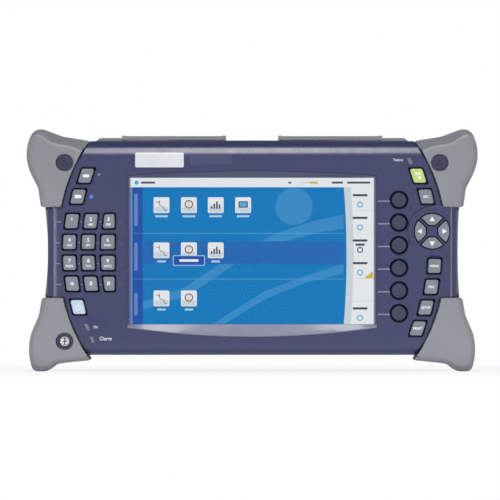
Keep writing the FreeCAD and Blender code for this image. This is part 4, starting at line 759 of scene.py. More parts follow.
@dataclass
class Enclosure:
    """The front and rear covers with the seal between them.

    Attributes:
        edge: The rounding of sharp edges in millimetres.
        well_corner: The radius of the key wells' corners.
        widen: How far the wells are widened.
        flanks: How far out the front face starts to curve back, left and right.
        curve: How fast it curves, per millimetre.
        bend: How far on it curves.
        swell: How far the front cover's waist is let out.
        rear_swell: How far the rear cover's waist is let out.
        pinch: The share of both at half height, left and right.
        parting: The Y of the plane between the covers.
        well_floor: The Y down to which the wells are widened.
        wall: How far out the outer walls start.
        waist: The heights between which the waist lies.
        pod: The X and Z of the raised pad's middle.
        pod_radius: Its radius.
        pod_foot: How far its rim slopes outwards.
        pod_run: How far the rim runs on beyond its arc.
        wells: The middle and half width of each key well.
        grooves: The X range of the dark bars of painted shade in the grooves beside the bumpers, left and right.
        groove_feet: The heights at which they start.
        case: The front cover's mesh in the making.
    """

    edge: float = 0.35
    well_corner: float = 1.7
    widen: float = 0.3
    flanks: tuple[float, float] = (138.4, 141.0)
    curve: float = 0.03
    bend: float = 5.0
    swell: float = 0.3
    rear_swell: float = 2.3
    pinch: tuple[float, float] = (0.2, 0.65)
    parting: float = -15.0
    well_floor: float = -41.5
    wall: float = 143.0
    waist: tuple[float, float] = (53.0, 118.0)
    pod: Point = (128.7, 100.2)
    pod_radius: float = 17.3
    pod_foot: float = 0.95
    pod_run: float = 8.6
    wells: list[tuple[Point, float]] = field(
        default_factory=lambda: [(middle(node)[0], half) for node, half in KEY_SIZES.items()])
    grooves: tuple[Point, Point] = ((-147.9, -142.0), (142.0, 148.2))
    groove_feet: tuple[float, float] = (52.2, 115.6)
    case: Form = field(default_factory=Form)

    def build(self) -> bpy.types.Object:
        """Builds the covers and dresses the seal.

        Returns:
            The front cover's piece.
        """
        front = self.front_shell()
        rear = Form()
        rear.solid_of("rear_cover", SHELL_GREY)
        self.let_out(rear, self.rear_swell)
        rear.piece("rear_shell", "housing", SHELL_GREY.slot, ["rear_cover"], bevel=self.edge)
        keep("body_seal", SEAL_BLACK)
        return front

    def front_shell(self) -> bpy.types.Object:
        """Builds the front cover, with rounded well corners and flanks that curve back.

        Returns:
            Its piece.
        """
        form = self.case
        form.solid_of("front_cover", CASE_BLUE, whole=False)
        self.lay_strips()
        corners = [e for e in form.mesh.edges if self.is_well_corner(e)]
        bmesh.ops.bevel(form.mesh, geom=corners, offset=self.well_corner, offset_type="OFFSET", affect="EDGES",
                        segments=4, profile=0.5, material=-1, clamp_overlap=False)
        self.widen_wells()
        cuts, pitch = 9, 0.6
        for step in range(cuts):
            for side, flank in zip((-1, 1), self.flanks):
                form.cut((side * (flank + pitch * step), 0, 0), (1, 0, 0))
        for v in form.mesh.verts:
            out = abs(v.co.x) - self.flanks[v.co.x > 0]
            if out > 0 and self.at_waist(v) and v.co.y < self.parting:
                curved = min(out, self.bend)
                lean = self.curve * curved * (curved + 2 * (out - curved))
                v.co.y += lean * (self.parting - v.co.y) / (self.parting - FRONT)
        self.let_out(form, self.swell)
        self.edge_pod()
        # Dark bars in the notches beside the bumpers: painted shade.
        tall, front, depth = 2.8, -32.0, 14.0
        for low, high in self.grooves:
            for z in self.groove_feet:
                form.bar((low, z), (high, z + tall), front, GROOVE_SHADE, depth=depth)
        return form.piece("front_shell", "housing", CASE_BLUE.slot, ["front_cover"], bevel=self.edge)

    def lay_strips(self) -> None:
        """Joins the cover's flat areas into strips that each end halfway up the key wells."""
        form = self.case
        strips: dict[int, list[float]] = {-1: [], 1: []}
        key_side = 92
        for (x, z), _ in self.wells:
            strips[1 if x > 0 else -1].append(z)
        for side, heights in strips.items():
            for z in heights:
                near = [f for f in form.mesh.faces if max(side * v.co.x for v in f.verts) > key_side]
                form.cut((0, 0, z), (0, 0, 1), near)
        for face in form.mesh.faces:
            spot = face.calc_center_median()
            face.material_index = sum(z < spot.z for z in strips[1 if spot.x > 0 else -1]) % 2
        bmesh.ops.dissolve_limit(form.mesh, angle_limit=math.radians(0.3), use_dissolve_boundaries=False,
                                 verts=form.mesh.verts, edges=form.mesh.edges, delimit={"MATERIAL"})
        form.paint(form.mesh.faces, CASE_BLUE)

    def at_waist(self, v: Vert) -> bool:
        """Tells whether a point lies between the upper and lower bumpers."""
        return self.waist[0] < v.co.z < self.waist[1]

    def let_out(self, form: Form, reach: float) -> None:
        """Moves the waist's outer walls out, more so next to the bumpers.

        Args:
            form: The cover.
            reach: How far the walls go out next to the bumpers.
        """
        low, high = self.waist
        centre, half, pitch, blend = (low + high) / 2, (high - low) / 2, 6.2, 2.5
        for step in range(-5, 6):
            walls = [f for f in form.mesh.faces if any(abs(v.co.x) > self.wall for v in f.verts)]
            form.cut((0, 0, centre + pitch * step), (0, 0, 1), walls)
        for v in form.mesh.verts:
            if abs(v.co.x) > self.wall and self.at_waist(v):
                pinch = self.pinch[v.co.x > 0]
                share = pinch + (1 - pinch) * ((v.co.z - centre) / half) ** 2
                v.co.x += math.copysign(reach * share * min(1.0, (abs(v.co.x) - self.wall) / blend), v.co.x)

    def edge_pod(self) -> None:
        """Slopes the rim of the raised pad down to the face, so that the light picks it out."""
        form, z, radius, end = self.case, self.pod[1], self.pod_radius, self.pod[0] + self.pod_run
        tucked, rise, sunk = -0.05, 0.82, 0.4
        profile = ((tucked, FRONT - rise), (self.pod_foot, FRONT + 0.02), (tucked, FRONT + sunk))
        path = [((end, z + radius), (0.0, 1.0))]
        path += [(on_circle(self.pod, radius, t), on_circle((0.0, 0.0), 1.0, t)) for t in evenly(90, 270, 40)]
        path += [((end, z - radius), (0.0, -1.0))]
        rings = [[form.mesh.verts.new((px + reach * nx, y, pz + reach * nz)) for reach, y in profile]
                 for (px, pz), (nx, nz) in path]
        faces = [form.mesh.faces.new((a[i], b[i], b[(i + 1) % 3], a[(i + 1) % 3]))
                 for a, b in zip(rings, rings[1:]) for i in range(3)]
        faces += [form.mesh.faces.new(rings[0]), form.mesh.faces.new(rings[-1])]
        bmesh.ops.recalc_face_normals(form.mesh, faces=faces)
        form.paint(faces, CASE_BLUE)

    def widen_wells(self) -> None:
        """Widens the key wells a little towards the face, so that each cap has a dark line around it."""
        rim = 1.4
        for v in self.case.mesh.verts:
            if v.co.y > self.well_floor:
                continue
            for (x, z), half in self.wells:
                if max(abs(v.co.x - x), abs(v.co.z - z)) < half + rim:
                    v.co.x = x + (v.co.x - x) * (1 + self.widen / half)
                    v.co.z = z + (v.co.z - z) * (1 + self.widen / half)
                    break

    def is_well_corner(self, edge: bmesh.types.BMEdge) -> bool:
        """Tells whether an edge runs back from the front face at a corner of a key well.

        Args:
            edge: The edge.

        Returns:
            Whether it does.
        """
        a, b = edge.verts
        is_straight = math.hypot(a.co.x - b.co.x, a.co.z - b.co.z) < 0.02
        reaches_face = min(a.co.y, b.co.y) < FRONT + 0.5 and 1.0 < abs(a.co.y - b.co.y) < 12.0
        if not (is_straight and reaches_face and edge.is_manifold):
            return False
        sharp, beside = 0.9, 2.0
        is_near = any(max(abs(a.co.x - x), abs(a.co.z - z)) < half + beside for (x, z), half in self.wells)
        return is_near and edge.calc_face_angle(0) > sharp


@dataclass
class Bumpers:
    """The four corner bumpers, with soft edges; a crease runs under the top edge of the upper two.

    Attributes:
        voxel: The fineness of the mesh in millimetres.
        passes: How often it is smoothed.
        slope: How steeply the band above the crease leans back.
        glint: The height of the painted highlight under it.
        worn: How far back that line reaches.
        worn_end: The X at which it ends.
        shaded: How far back the shaded band reaches.
        beside: How far back the painted shade beside the case reaches.
        lowest: The height at which that painted shade starts.
        crease: The crease's X and Z, from the outer end inwards.
    """

    voxel: float = 0.9
    passes: int = 3
    slope: float = 1.1
    glint: float = 1.7
    worn: float = 3.0
    worn_end: float = 154.0
    shaded: float = 14.0
    beside: float = 5.0
    lowest: float = 9.0
    crease: tuple[Point, ...] = ((156.5, 169.2), (153.0, 169.6), (149.8, 168.4), (146.5, 165.8), (143.8, 163.9),
                                 (138.4, 162.4), (132.9, 161.8), (127.4, 160.2), (122.0, 158.0), (116.0, 157.0))

    def build(self) -> None:
        """Builds each bumper."""
        for corner in ("top_left", "top_right", "bottom_left", "bottom_right"):
            self.bumper(f"bumper_{corner}", corner.startswith("top"))

    def bumper(self, node: str, upper: bool) -> None:
        """Builds one bumper from its solid.

        Args:
            node: The solid.
            upper: Whether it has the crease.
        """
        form = Form()
        form.solid_of(node, BUMPER_GREY)
        form.take(self.refined(form), BUMPER_GREY)
        front = min(v.co.y for v in form.mesh.verts)
        self.smooth(form, self.passes)
        if upper:
            side = 1 if node.endswith("right") else -1
            self.fold(form, side, front)
        self.smooth(form, 1)
        for face in form.mesh.faces:
            form.paint([face], self.tone(face, upper, front))
        form.piece(f"{node}_rubber", "housing", BUMPER_GREY.slot, [node], smooth=180)

    def tone(self, face: Face, upper: bool, front: float) -> Finish:
        """Picks the finish of one face of a bumper.

        Args:
            face: The face.
            upper: Whether the bumper has the crease.
            front: The Y of the bumper's face.

        Returns:
            The finish: painted shade beside the case, painted shade above the crease and a painted highlight
                along it.
        """
        spot, way = face.calc_center_median(), face.normal
        depth, over = spot.y - front, self.above(abs(spot.x), spot.z)
        # Bumper sides that face the case are painted dark: painted shade in the groove.
        inward = way.y > -0.8 and way.x * spot.x < -0.25 * abs(spot.x) and abs(way.z) < 0.6
        if inward and spot.z > self.lowest and depth < self.beside:
            return GROOVE_SHADE
        if upper and depth < self.shaded and over > 0:
            return BUMPER_SHADE
        # The band just under the crease gets the paler rubber: a painted highlight.
        is_highlight = upper and depth < self.worn and over > -self.glint and abs(spot.x) < self.worn_end
        return BUMPER_LIGHT if is_highlight else BUMPER_GREY

    def smooth(self, form: Form, passes: int) -> None:
        """Softens the mesh."""
        for _ in range(passes):
            bmesh.ops.smooth_vert(form.mesh, verts=form.mesh.verts, factor=0.5, use_axis_x=True, use_axis_y=True,
                                  use_axis_z=True)

    def fold(self, form: Form, side: int, front: float) -> None:
        """Cuts the mesh along the crease and leans back what lies above it.

        Args:
            form: The bumper's mesh.
            side: 1 for the right one, -1 for the left one.
            front: The Y of its face.
        """
        for (x0, z0), (x1, z1) in zip(self.crease, self.crease[1:]):
            near = [f for f in form.mesh.faces if self.is_near(f.calc_center_median(), x1 - 1, x0 + 1, front)]
            for drop in (0.0, self.glint):
                whole = [f for f in near if f.is_valid]
                form.cut((side * x0, 0, z0 - drop), (side * (z1 - z0), 0, x0 - x1), whole)
        for v in form.mesh.verts:
            above = self.above(abs(v.co.x), v.co.z)
            if above > 0 and v.co.y < front + 12:
                v.co.y = max(v.co.y, front + self.slope * above)

    def is_near(self, spot: Vector, inner: float, outer: float, front: float) -> bool:
        """Tells whether a place lies at the crease, between two places across it."""
        return inner < abs(spot.x) < outer and spot.y < front + 6 and -4 < self.above(abs(spot.x), spot.z) < 2

    def refined(self, form: Form) -> bpy.types.Mesh:
        """Takes a form's mesh out and lays it out again in small even faces.

        Args:
            form: The form, which is left empty.

        Returns:
            The new mesh.
        """
        mesh = bpy.data.meshes.new("coarse")
        form.mesh.to_mesh(mesh)
        form.mesh.clear()
        holder = place("coarse", mesh)
        even = holder.modifiers.new("even", "REMESH")
        even.mode = "VOXEL"
        even.voxel_size = self.voxel
        made = worked_out(holder)
        bpy.data.meshes.remove(mesh)
        return made

    def above(self, x: float, z: float) -> float:
        """Tells how far a place lies above the crease.

        Args:
            x: How far out it lies, in millimetres.
            z: Its height.

        Returns:
            The distance, negative below the crease.
        """
        points = self.crease[::-1]
        for (x0, z0), (x1, z1) in zip(points, points[1:]):
            if x0 <= x <= x1:
                return z - (z0 + (z1 - z0) * (x - x0) / (x1 - x0))
        return z - points[0][1] if x < points[0][0] else z - points[-1][1] + 0.9 * (x - points[-1][0])


@dataclass
class Fixings:
    """The bumper plugs and the case screws.

    Attributes:
        across: How far out the plugs and screws stand.
        plug_height: The height of the upper plugs' middle.
        screw_height: The height of the bare screw's middle.
        pit: The radius of the dark discs painted on a plug as the shade in its pits.
        pit_ring: The radius of the circle that they stand on.
        head: The radius of the bare screw's head.
    """

    across: float = 134.0
    plug_height: float = 149.2
    screw_height: float = 21.5
    pit: float = 0.75
    pit_ring: float = 1.7
    head: float = 3.7

    def build(self) -> None:
        """Builds both."""
        form = Form()
        form.solid_of("bumper_plugs", PLUG_DARK)
        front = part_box("bumper_plugs")[0].y / MM - 0.03
        # Three dark discs on each plug where its pits are: painted shade.
        for x in (-self.across, self.across):
            for turn in (90, 210, 330):
                spot = on_circle((x, self.plug_height), self.pit_ring, turn)
                form.disc(spot, self.pit, front, PLUG_PIT_SHADE, depth=0.06)
        form.piece("hole_plugs", "housing", PLUG_DARK.slot, ["bumper_plugs"], bevel=0.3)
        self.screws()

    def screws(self) -> None:
        """Builds the screws, of which the bare one shows its domed head with its slot as dark bars of painted
        shade.
        """
        form = Form()
        verts = form.solid_of("case_screws", SCREW_STEEL, whole=False)
        front = min(v.co.y for v in verts)
        centre = (-self.across, self.screw_height)
        rings = ((0.0, -0.35), (1.2, -0.31), (2.4, -0.16), (self.head - 0.5, 0.05), (self.head - 0.1, 0.5))
        turns = evenly(0, 360, 40)[:-1]
        spots = [[form.mesh.verts.new((x, front + y, z)) for x, z in (on_circle(centre, r, t) for t in turns)]
                 for r, y in rings]
        made = [form.mesh.faces.new((a[k - 1], a[k], b[k], b[k - 1]))
                for a, b in zip(spots, spots[1:]) for k in range(len(turns))]
        form.paint(made, SCREW_HEAD)
        bmesh.ops.remove_doubles(form.mesh, verts=[v for ring in spots for v in ring], dist=1e-4)
        bmesh.ops.recalc_face_normals(form.mesh, faces=[f for f in made if f.is_valid])
        # The slot is two dark bars on the head: painted shade.
        for wide, tall, rise in ((0.45, 2.5, 0.38), (1.9, 0.4, 0.375)):
            low, high = shifted(centre, ((-wide, -tall), (wide, tall)))
            form.bar(low, high, front - rise, SCREW_SLOT_SHADE)
        form.piece("corner_screws", "housing", SCREW_STEEL.slot, ["case_screws"])


class Mark(Enum):
    """The signs that a key may carry apart from letters."""

    STAR = "star"
    PILL = "pill"
    BOX = "box"
    POWER = "power"
    RUN = "run"
    UP = "up"
    DOWN = "down"
    LEFT = "left"
    RIGHT = "right"
    NONE = "none"


@dataclass(frozen=True)
class Legend:
    """What is printed on one key.

    Attributes:
        big: The upper line.
        small: The lower line.
        mark: A sign.
    """

    big: str = ""
    small: str = ""
    mark: Mark = Mark.NONE


ARROW_TURNS: dict[Mark, float] = {Mark.UP: 90, Mark.DOWN: 270, Mark.LEFT: 180, Mark.RIGHT: 0}
LETTERS = ("", "ABC", "DEF", "GHI", "JKL", "MNO", "PQRS", "TUV", "WXYZ")
LEGENDS: dict[str, Legend] = {f"digit_{n}": Legend(str(n), letters) for n, letters in enumerate(LETTERS, 1)}
LEGENDS |= {
    "star_key": Legend(mark=Mark.STAR), "digit_0": Legend("0"), "hash_key": Legend("#"),
    "function_key_1": Legend(mark=Mark.PILL), "function_key_2": Legend(mark=Mark.BOX),
    "power_key": Legend(mark=Mark.POWER), "start_key": Legend(mark=Mark.RUN),
}
LEGENDS |= {f"side_key_{n}": Legend(small=word)
            for n, word in enumerate(("ESC", "MENU", "FILE", "SETUP", "PRINT"), 1)}
LEGENDS |= {f"arrow_{mark.value}": Legend(mark=mark) for mark in ARROW_TURNS}
SIGN_BARS: dict[Mark, list[tuple[Point, Point, float]]] = {
    Mark.PILL: [((-2.4, -1.1), (2.4, 0.9), 0.95)],
    Mark.BOX: [((-2.4, -1.2), (2.4, 1.3), 0.5)],
    Mark.POWER: [((-0.28, 0.2), (0.28, 2.4), 0.0)],
    Mark.RUN: [((-2.3, 1.0), (0.6, 2.2), 0.2), ((0.1, -2.5), (2.3, -0.5), 0.3)],
}


@dataclass
class Keys:
    """Every key cap with its legend, each on a body of its own.

    Attributes:
        proud: How far the legends stand out.
        big_height: The height of a legend's upper line.
        small_height: The height of its lower line.
        arrow_size: The radius of an arrow.
        skirt: How far back from its face a cap turns dark.
        finishes: The finishes of the caps that aren't grey.
    """

    proud: float = 0.03
    big_height: float = 2.6
    small_height: float = 1.5
    arrow_size: float = 2.2
    skirt: float = 1.3
    finishes: dict[str, Finish] = field(default_factory=lambda: {"power_key": POWER_CAP, "start_key": START_CAP})

    def build(self) -> None:
        """Builds all key caps."""
        for node, legend in LEGENDS.items():
            self.cap(node, legend)
        for number in range(1, 7):
            self.cap(f"soft_key_{number}", Legend())

    def cap(self, node: str, legend: Legend) -> None:
        """Builds one key cap.

        Args:
            node: The key's CAD node and body.
            legend: What it carries.
        """
        finish = self.finishes.get(node, SOFT_CAP if node.startswith("soft") else KEY_GREY)
        form = Form()
        form.solid_of(node, finish, whole=False)
        centre, front = middle(node)
        form.paint([f for f in form.mesh.faces if f.calc_center_median().y > front + self.skirt], KEY_SKIRT)
        front -= self.proud
        self.words(form, legend, centre, front)
        self.sign(form, legend.mark, centre, front)
        form.piece(f"{node}_cap", node, finish.slot, [node])

    def words(self, form: Form, legend: Legend, centre: Point, front: float) -> None:
        """Prints a legend's two lines.

        Args:
            form: The cap.
            legend: What it carries.
            centre: The X and Z of the cap's middle.
            front: The Y of the print.
        """
        x, z = centre
        if legend.big:
            raised = legend.small or legend.big == "1"
            lift, height = (1.5, self.big_height) if raised else (0.2, self.big_height * 1.1)
            form.lettering(legend.big, (x, z + lift), height, front, LEGEND_WHITE, weight=0.03)
            if legend.small:
                form.lettering(legend.small, (x, z - 2.3), self.small_height, front, LEGEND_WHITE, 5.6, 0.03)
        elif legend.small:
            form.lettering(legend.small, (x, z), self.small_height + 0.2, front, LEGEND_WHITE, 6.6, 0.03)

    def sign(self, form: Form, mark: Mark, centre: Point, front: float) -> None:
        """Prints a sign.

        Args:
            form: The cap.
            mark: The sign.
            centre: The X and Z of the cap's middle.
            front: The Y of the print.
        """
        for low, high, corner in SIGN_BARS.get(mark, []):
            form.bar(*shifted(centre, (low, high)), front, LEGEND_WHITE, corner)
        if mark in ARROW_TURNS:
            corners = [on_circle(centre, self.arrow_size, ARROW_TURNS[mark] + turn) for turn in (0, 120, 240)]
            form.plate(corners, front, INK, LEGEND_WHITE)
        elif mark is Mark.STAR:
            for turn in (90, 30, 150):
                ends = [on_circle(centre, reach, turn) for reach in (-1.5, 1.5)]
                form.stroke(ends, 0.55, front, LEGEND_WHITE)
        elif mark is Mark.POWER:
            form.disc((centre[0], centre[1] - 0.2), 2.0, front, LEGEND_WHITE, inner=1.45, start=125, sweep=290)
        elif mark is Mark.RUN:
            form.plate(shifted(centre, ((0.6, 0.4), (2.4, 1.6), (0.6, 2.8))), front, INK, LEGEND_WHITE)


@dataclass
class Prints:
    """What is printed on or stuck to the front cover.

    Attributes:
        skin: The front cover's surface.
        proud: How far the prints stand out.
        row_start: The X at which the line beside a row of keys starts.
        soft_start: The X at which the line to a soft key starts.
        words: The words with their middle, their height and the room that they take.
    """

    skin: Skin
    proud: float = 0.06
    row_start: float = -140.4
    soft_start: float = 90.0
    words: tuple[tuple[str, Point, float, float], ...] = (
        ("On", (-111.9, 31.8), 1.9, 4.4), ("Charge", (-104.7, 23.1), 2.7, 8.6),
        ("Testing", (104.4, 151.0), 2.0, 7.4))

    def build(self) -> None:
        """Builds the badge, the bare patch, the lines and the lamp labels."""
        self.plates()
        self.lines()

    def plates(self) -> None:
        """Builds the bare badge and the bare patch beside it."""
        for name, low, high, rise, finish in (
            ("badge_plate", (-83.6, 145.9), (-48.9, 156.4), 0.45, BADGE_WHITE),
            ("name_patch", (-44.5, 148.0), (-14.7, 154.6), 0.1, PATCH_DARK),
        ):
            form = Form()
            verts = form.bar(low, high, FRONT - rise, finish, 0.9, depth=rise + 0.3)
            form.drape(form.slice(verts, evenly(low[1], high[1], 16)[1:-1]), self.skin, FRONT)
            form.piece(name, "housing", finish.slot)

    def lines(self) -> None:
        """Prints the lines and the small words."""
        form = Form()
        front = FRONT - self.proud
        made: Verts = []
        for number in range(1, 7):
            (x, z), _ = middle(f"soft_key_{number}")
            made += form.bar((self.soft_start, z - 1.3), (x - 6.5, z - 0.4), front, PRINT_LAVENDER)
        rows = [[f"digit_{first + k}" for k in range(3)] for first in (1, 4, 7)]
        for row in (*rows, ["star_key", "digit_0", "hash_key"]):
            z = middle(row[0])[0][1] - 0.5
            spans = [(low.x / MM, high.x / MM) for low, high in map(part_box, row)]
            line = [(x, z) for x in evenly(self.row_start, spans[0][0] - 1.1, 8)]
            made += form.stroke(line, 0.7, front, PRINT_LAVENDER)
            for (_, end), (start, _) in zip(spans, spans[1:]):
                dash = shifted(((end + start) / 2, z), ((-0.5, -0.4), (0.5, 0.4)))
                made += form.bar(*dash, front, PRINT_LAVENDER, 0.15)
            made += form.disc((-93.6, z), 1.5, front, PRINT_FAINT, inner=0.9)
        made += form.disc((-115.0, 124.9), 1.5, front, PRINT_BLUE)
        made += form.disc((-109.5, 140.7), 0.9, front, PRINT_LAVENDER)
        for words, centre, height, widest in self.words:
            made += form.lettering(words, centre, height, front, PRINT_PALE, widest)
        form.drape(made, self.skin, FRONT)
        form.piece("front_prints", "housing", PRINT_LAVENDER.slot)


@dataclass
class Display:
    """The framed screen: the frame, the touch pane, the panel and what it shows.

    Attributes:
        left: The X of the picture's left edge.
        right: The X of its right edge.
        bottom: The height of its lower edge.
        top: The height of its upper edge.
        title_foot: The height at which the bar along its top starts.
        front: The Y of its lowest layer.
        layer: How far its layers lie apart.
        tile: The width of a tile.
        silver: How far the silver paint reaches beyond the picture's sides, top and bottom.
        form: The picture in the making.
    """

    left: float = -87.0
    right: float = 87.0
    bottom: float = 33.8
    top: float = 138.4
    title_foot: float = 131.7
    front: float = -40.22
    layer: float = 0.02
    tile: float = 11.3
    silver: tuple[float, float, float] = (0.9, 0.3, 0.4)
    form: Form = field(default_factory=Form)

    def build(self) -> None:
        """Builds the display."""
        self.screen_frame()
        keep("touch_window", PANE)
        keep("lcd_panel", PANEL_DARK)
        self.interface()

    def screen_frame(self) -> None:
        """Builds the frame: its lower lip and inner slopes are silver, the rest is in the case's blue, which on
        the top crescent that faces down is painted shade.
        """
        form = Form()
        form.solid_of("display_frame", FRAME_SILVER)
        aside, above, below = self.silver
        for side in (-1, 1):
            form.cut((side * (self.right + aside), 0, 0), (1, 0, 0))
        for height in (self.top + above, self.bottom - below):
            form.cut((0, 0, height), (0, 0, 1))
        # The top crescent and the outer sides get the case's blue; on the crescent it is painted shade.
        form.paint([f for f in form.mesh.faces if self.is_blue(f.calc_center_median())], FRAME_BLUE_SHADE)
        form.piece("screen_frame", "housing", FRAME_SILVER.slot, ["display_frame"], bevel=0.1)

    def is_blue(self, spot: Vector) -> bool:
        """Tells whether the frame is in the case's blue at a place, which on its top crescent is painted shade.
        """
        aside, above, below = self.silver
        return spot.z > self.top + above or (abs(spot.x) > self.right + aside and spot.z > self.bottom - below)

    def at(self, level: int) -> float:
        """Gives the Y of a layer of the picture, of which higher ones lie nearer."""
        return self.front - level * self.layer

    def bar(self, low: Point, high: Point, level: int, finish: Finish, corner: float = 0.0) -> None:
        """Adds a rectangle to the picture."""
        self.form.bar(low, high, self.at(level), finish, corner, depth=self.layer / 2)

    def disc(self, centre: Point, radius: float, level: int, finish: Finish, inner: float = 0.0) -> None:
        """Adds a disc or a ring to the picture."""
        self.form.disc(centre, radius, self.at(level), finish, self.layer / 2, inner)

    def interface(self) -> None:
        """Builds the picture: a plain made-up menu of tiles and soft-key fields."""
        self.bar((self.left, self.bottom), (self.right, self.top), 0, UI_BLUE)
        self.swells()
        self.bar((-77.8, 76.8), (65.5, 93.0), 2, UI_BAND)
        self.bar((self.left, self.bottom), (-78.2, self.title_foot), 3, UI_DEEP)
        self.bar((self.left, self.bottom), (-85.6, self.title_foot), 4, UI_TAB)
        for low, high in ((104, 127), (72, 92), (40, 56)):
            self.bar((-84.3, low), (-81.9, high), 4, UI_TAB, 0.6)
        for z in (98.7, 66.0):
            self.bar((-85.4, z - 0.2), (65.5, z + 0.2), 3, UI_SKY)
        self.title()
        self.tiles()
        self.fields()
        self.form.piece("screen_picture", "housing", UI_BLUE.slot)

    def swells(self) -> None:
        """Adds the pale sweeps of the wallpaper."""
        self.disc((30.0, 118.0), 13.4, 1, UI_SWELL)
        for points, finish in (
            ([(-78, 44), (-45, 55), (-10, 78), (20, 92), (45, 99), (65.4, 102),
              (65.4, 112), (45, 108), (18, 99), (-14, 83), (-48, 60), (-78, 50)], UI_SWELL),
            ([(-20, 33.9), (10, 52), (40, 64), (65.4, 70), (65.4, 77), (40, 69), (8, 57), (-28, 33.9)], UI_SWELL),
            ([(-78, 88), (-50, 80), (-20, 82), (8, 90), (-20, 85), (-50, 84), (-78, 93)], UI_SWELL_PALE),
        ):
            self.form.plate(points, self.at(1) - self.layer / 5, self.layer / 2, finish)

    def title(self) -> None:
        """Adds the bar along the top."""
        self.bar((self.left, self.title_foot), (self.right, self.top), 5, UI_WHITE)
        self.disc((-82.6, 135.0), 1.5, 6, UI_SKY)
        for low, high, finish in ((-79.5, -69.5, UI_INK), (26.0, 28.0, UI_INK), (34.5, 40.5, UI_SHADE),
                                  (41.0, 47.0, UI_YELLOW), (57.0, 65.0, UI_INK), (68.0, 84.5, UI_INK)):
            self.bar((low, 134.3), (high, 135.7), 6, finish, 0.3)

    def tiles(self) -> None:
        """Adds the tiles with their signs and captions."""
        half = self.tile / 2
        rows = ((118.9, (-64.8, -45.2, -26.0, -6.4), 9.0), (86.6, (-64.8, -45.2, -26.0), 6.0),
                (52.2, (-64.8, -45.2), 6.0))
        for row, (z, places, wide) in enumerate(rows):
            for column, x in enumerate(places):
                foot = z - half
                self.bar((x - half, foot), (x + half, z + half), 5, UI_WHITE, 1.0)
                self.bar((x - half + 0.8, foot + 0.6), (x + half - 0.8, foot + 4.2), 6, UI_SHADE, 0.6)
                self.sign((x, z), column)
                if (row, column) != (1, 1):
                    self.bar((x - wide / 2, foot - 3.0), (x + wide / 2, foot - 1.6), 5, UI_CAPTION, 0.4)
        self.bar((-56.6, 75.6), (-33.8, 83.0), 7, UI_CAPTION, 0.8)
        self.bar((-56.1, 76.1), (-34.3, 82.5), 8, UI_DEEP, 0.6)
        self.bar((-52.0, 78.4), (-38.4, 80.2), 9, UI_WHITE, 0.5)

    def sign(self, centre: Point, kind: int) -> None:
        """Adds the sign of one tile.

        Args:
            centre: The tile's middle.
            kind: A falling line, a dial, a row of columns or a window, from 0 to 3.
        """
        ink = {0: [], 1: [((-0.3, -3.6), (0.3, 3.0), 8, UI_YELLOW, 0.0)],
               2: [((-3.6 + 1.9 * k, -2.6), (-2.4 + 1.9 * k, -2.6 + tall), 8, UI_INK, 0.0)
                   for k, tall in enumerate((2.0, 3.6, 5.2, 3.0))],
               3: [((-3.4, -1.8), (3.4, 2.8), 8, UI_INK, 0.8), ((-2.6, -1.0), (2.6, 2.0), 9, UI_SKY, 0.4)]}
        for low, high, *rest in ink[kind]:
            self.bar(*shifted(centre, (low, high)), *rest)
        if kind == 0:
            trace = ((-4.0, 2.6), (-2.0, 1.6), (-1.6, 3.4), (-1.2, -0.2), (1.6, -1.4), (2.0, -3.6), (4.0, -3.8))
            self.form.stroke(shifted(centre, trace), 0.5, self.at(7), UI_INK, self.layer / 2)
        elif kind == 1:
            self.disc((centre[0], centre[1] + 0.6), 3.0, 7, UI_INK, 2.2)

    def fields(self) -> None:
        """Adds the pale soft-key fields along the right edge."""
        right, bottom, top, thin, pitch = self.right, self.bottom, self.title_foot, self.layer / 2, 16.2
        bow = [(67.6 - 2.0 * ((z - 82.7) / 49) ** 2, z) for z in evenly(bottom, top, 12)]
        self.form.plate([(right, bottom), (right, top), *bow[::-1]], self.at(4), thin, UI_WHITE)
        self.form.plate([*shifted((5.0, 0.0), bow), *bow[::-1]], self.at(5), thin, UI_SHADE)
        for number in range(5):
            z = 114.9 - pitch * number
            self.bar((69.5, z - 0.15), (self.right, z + 0.15), 6, UI_SHADE)
        for number, has_two in ((0, False), (1, False), (2, True), (3, False), (5, False)):
            z = 122.6 - pitch * number
            self.bar((72.0, z + 2.6), (82.5, z + 4.2), 6, UI_INK, 0.4)
            if has_two:
                self.bar((74.0, z - 0.4), (80.5, z + 1.2), 6, UI_INK, 0.4)
            self.disc((77.2, z - 3.4), 2.2, 6, UI_INK if has_two else UI_SKY, 1.4)
        self.form.plate([(80.0, 66.6), (86.4, 66.6), (86.4, 71.6)], self.at(7), thin, UI_YELLOW)


@dataclass
class Lamps:
    """The three status lamps."""

    def build(self) -> None:
        """Dresses the lamp windows."""
        form = Form()
        form.solid_of("status_leds", LAMP_SMOKE)
        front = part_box("status_leds")[0].y / MM - 0.02
        for x, z in ((-117.5, 30.2), (-113.8, 21.3), (113.4, 148.6)):
            form.disc((x, z), 0.7, front, LAMP_DOT, depth=0.06)
        form.piece("lamp_windows", "housing", LAMP_SMOKE.slot, ["status_leds"])


@dataclass
class TopDeck:
    """The connector doors with the sockets under them.

    Attributes:
        edge: The rounding of the doors' edges.
    """

    edge: float = 0.3

    def build(self) -> None:
        """Builds the doors and dresses the sockets."""
        for side in ("left", "right"):
            dress(f"connector_door_{side}", f"door_{side}_lid", f"door_{side}", SHELL_GREY, self.edge)
        keep("dc_jack", CONNECTOR_BLACK)
        keep("lan_usb_connector", CONNECTOR_METAL)


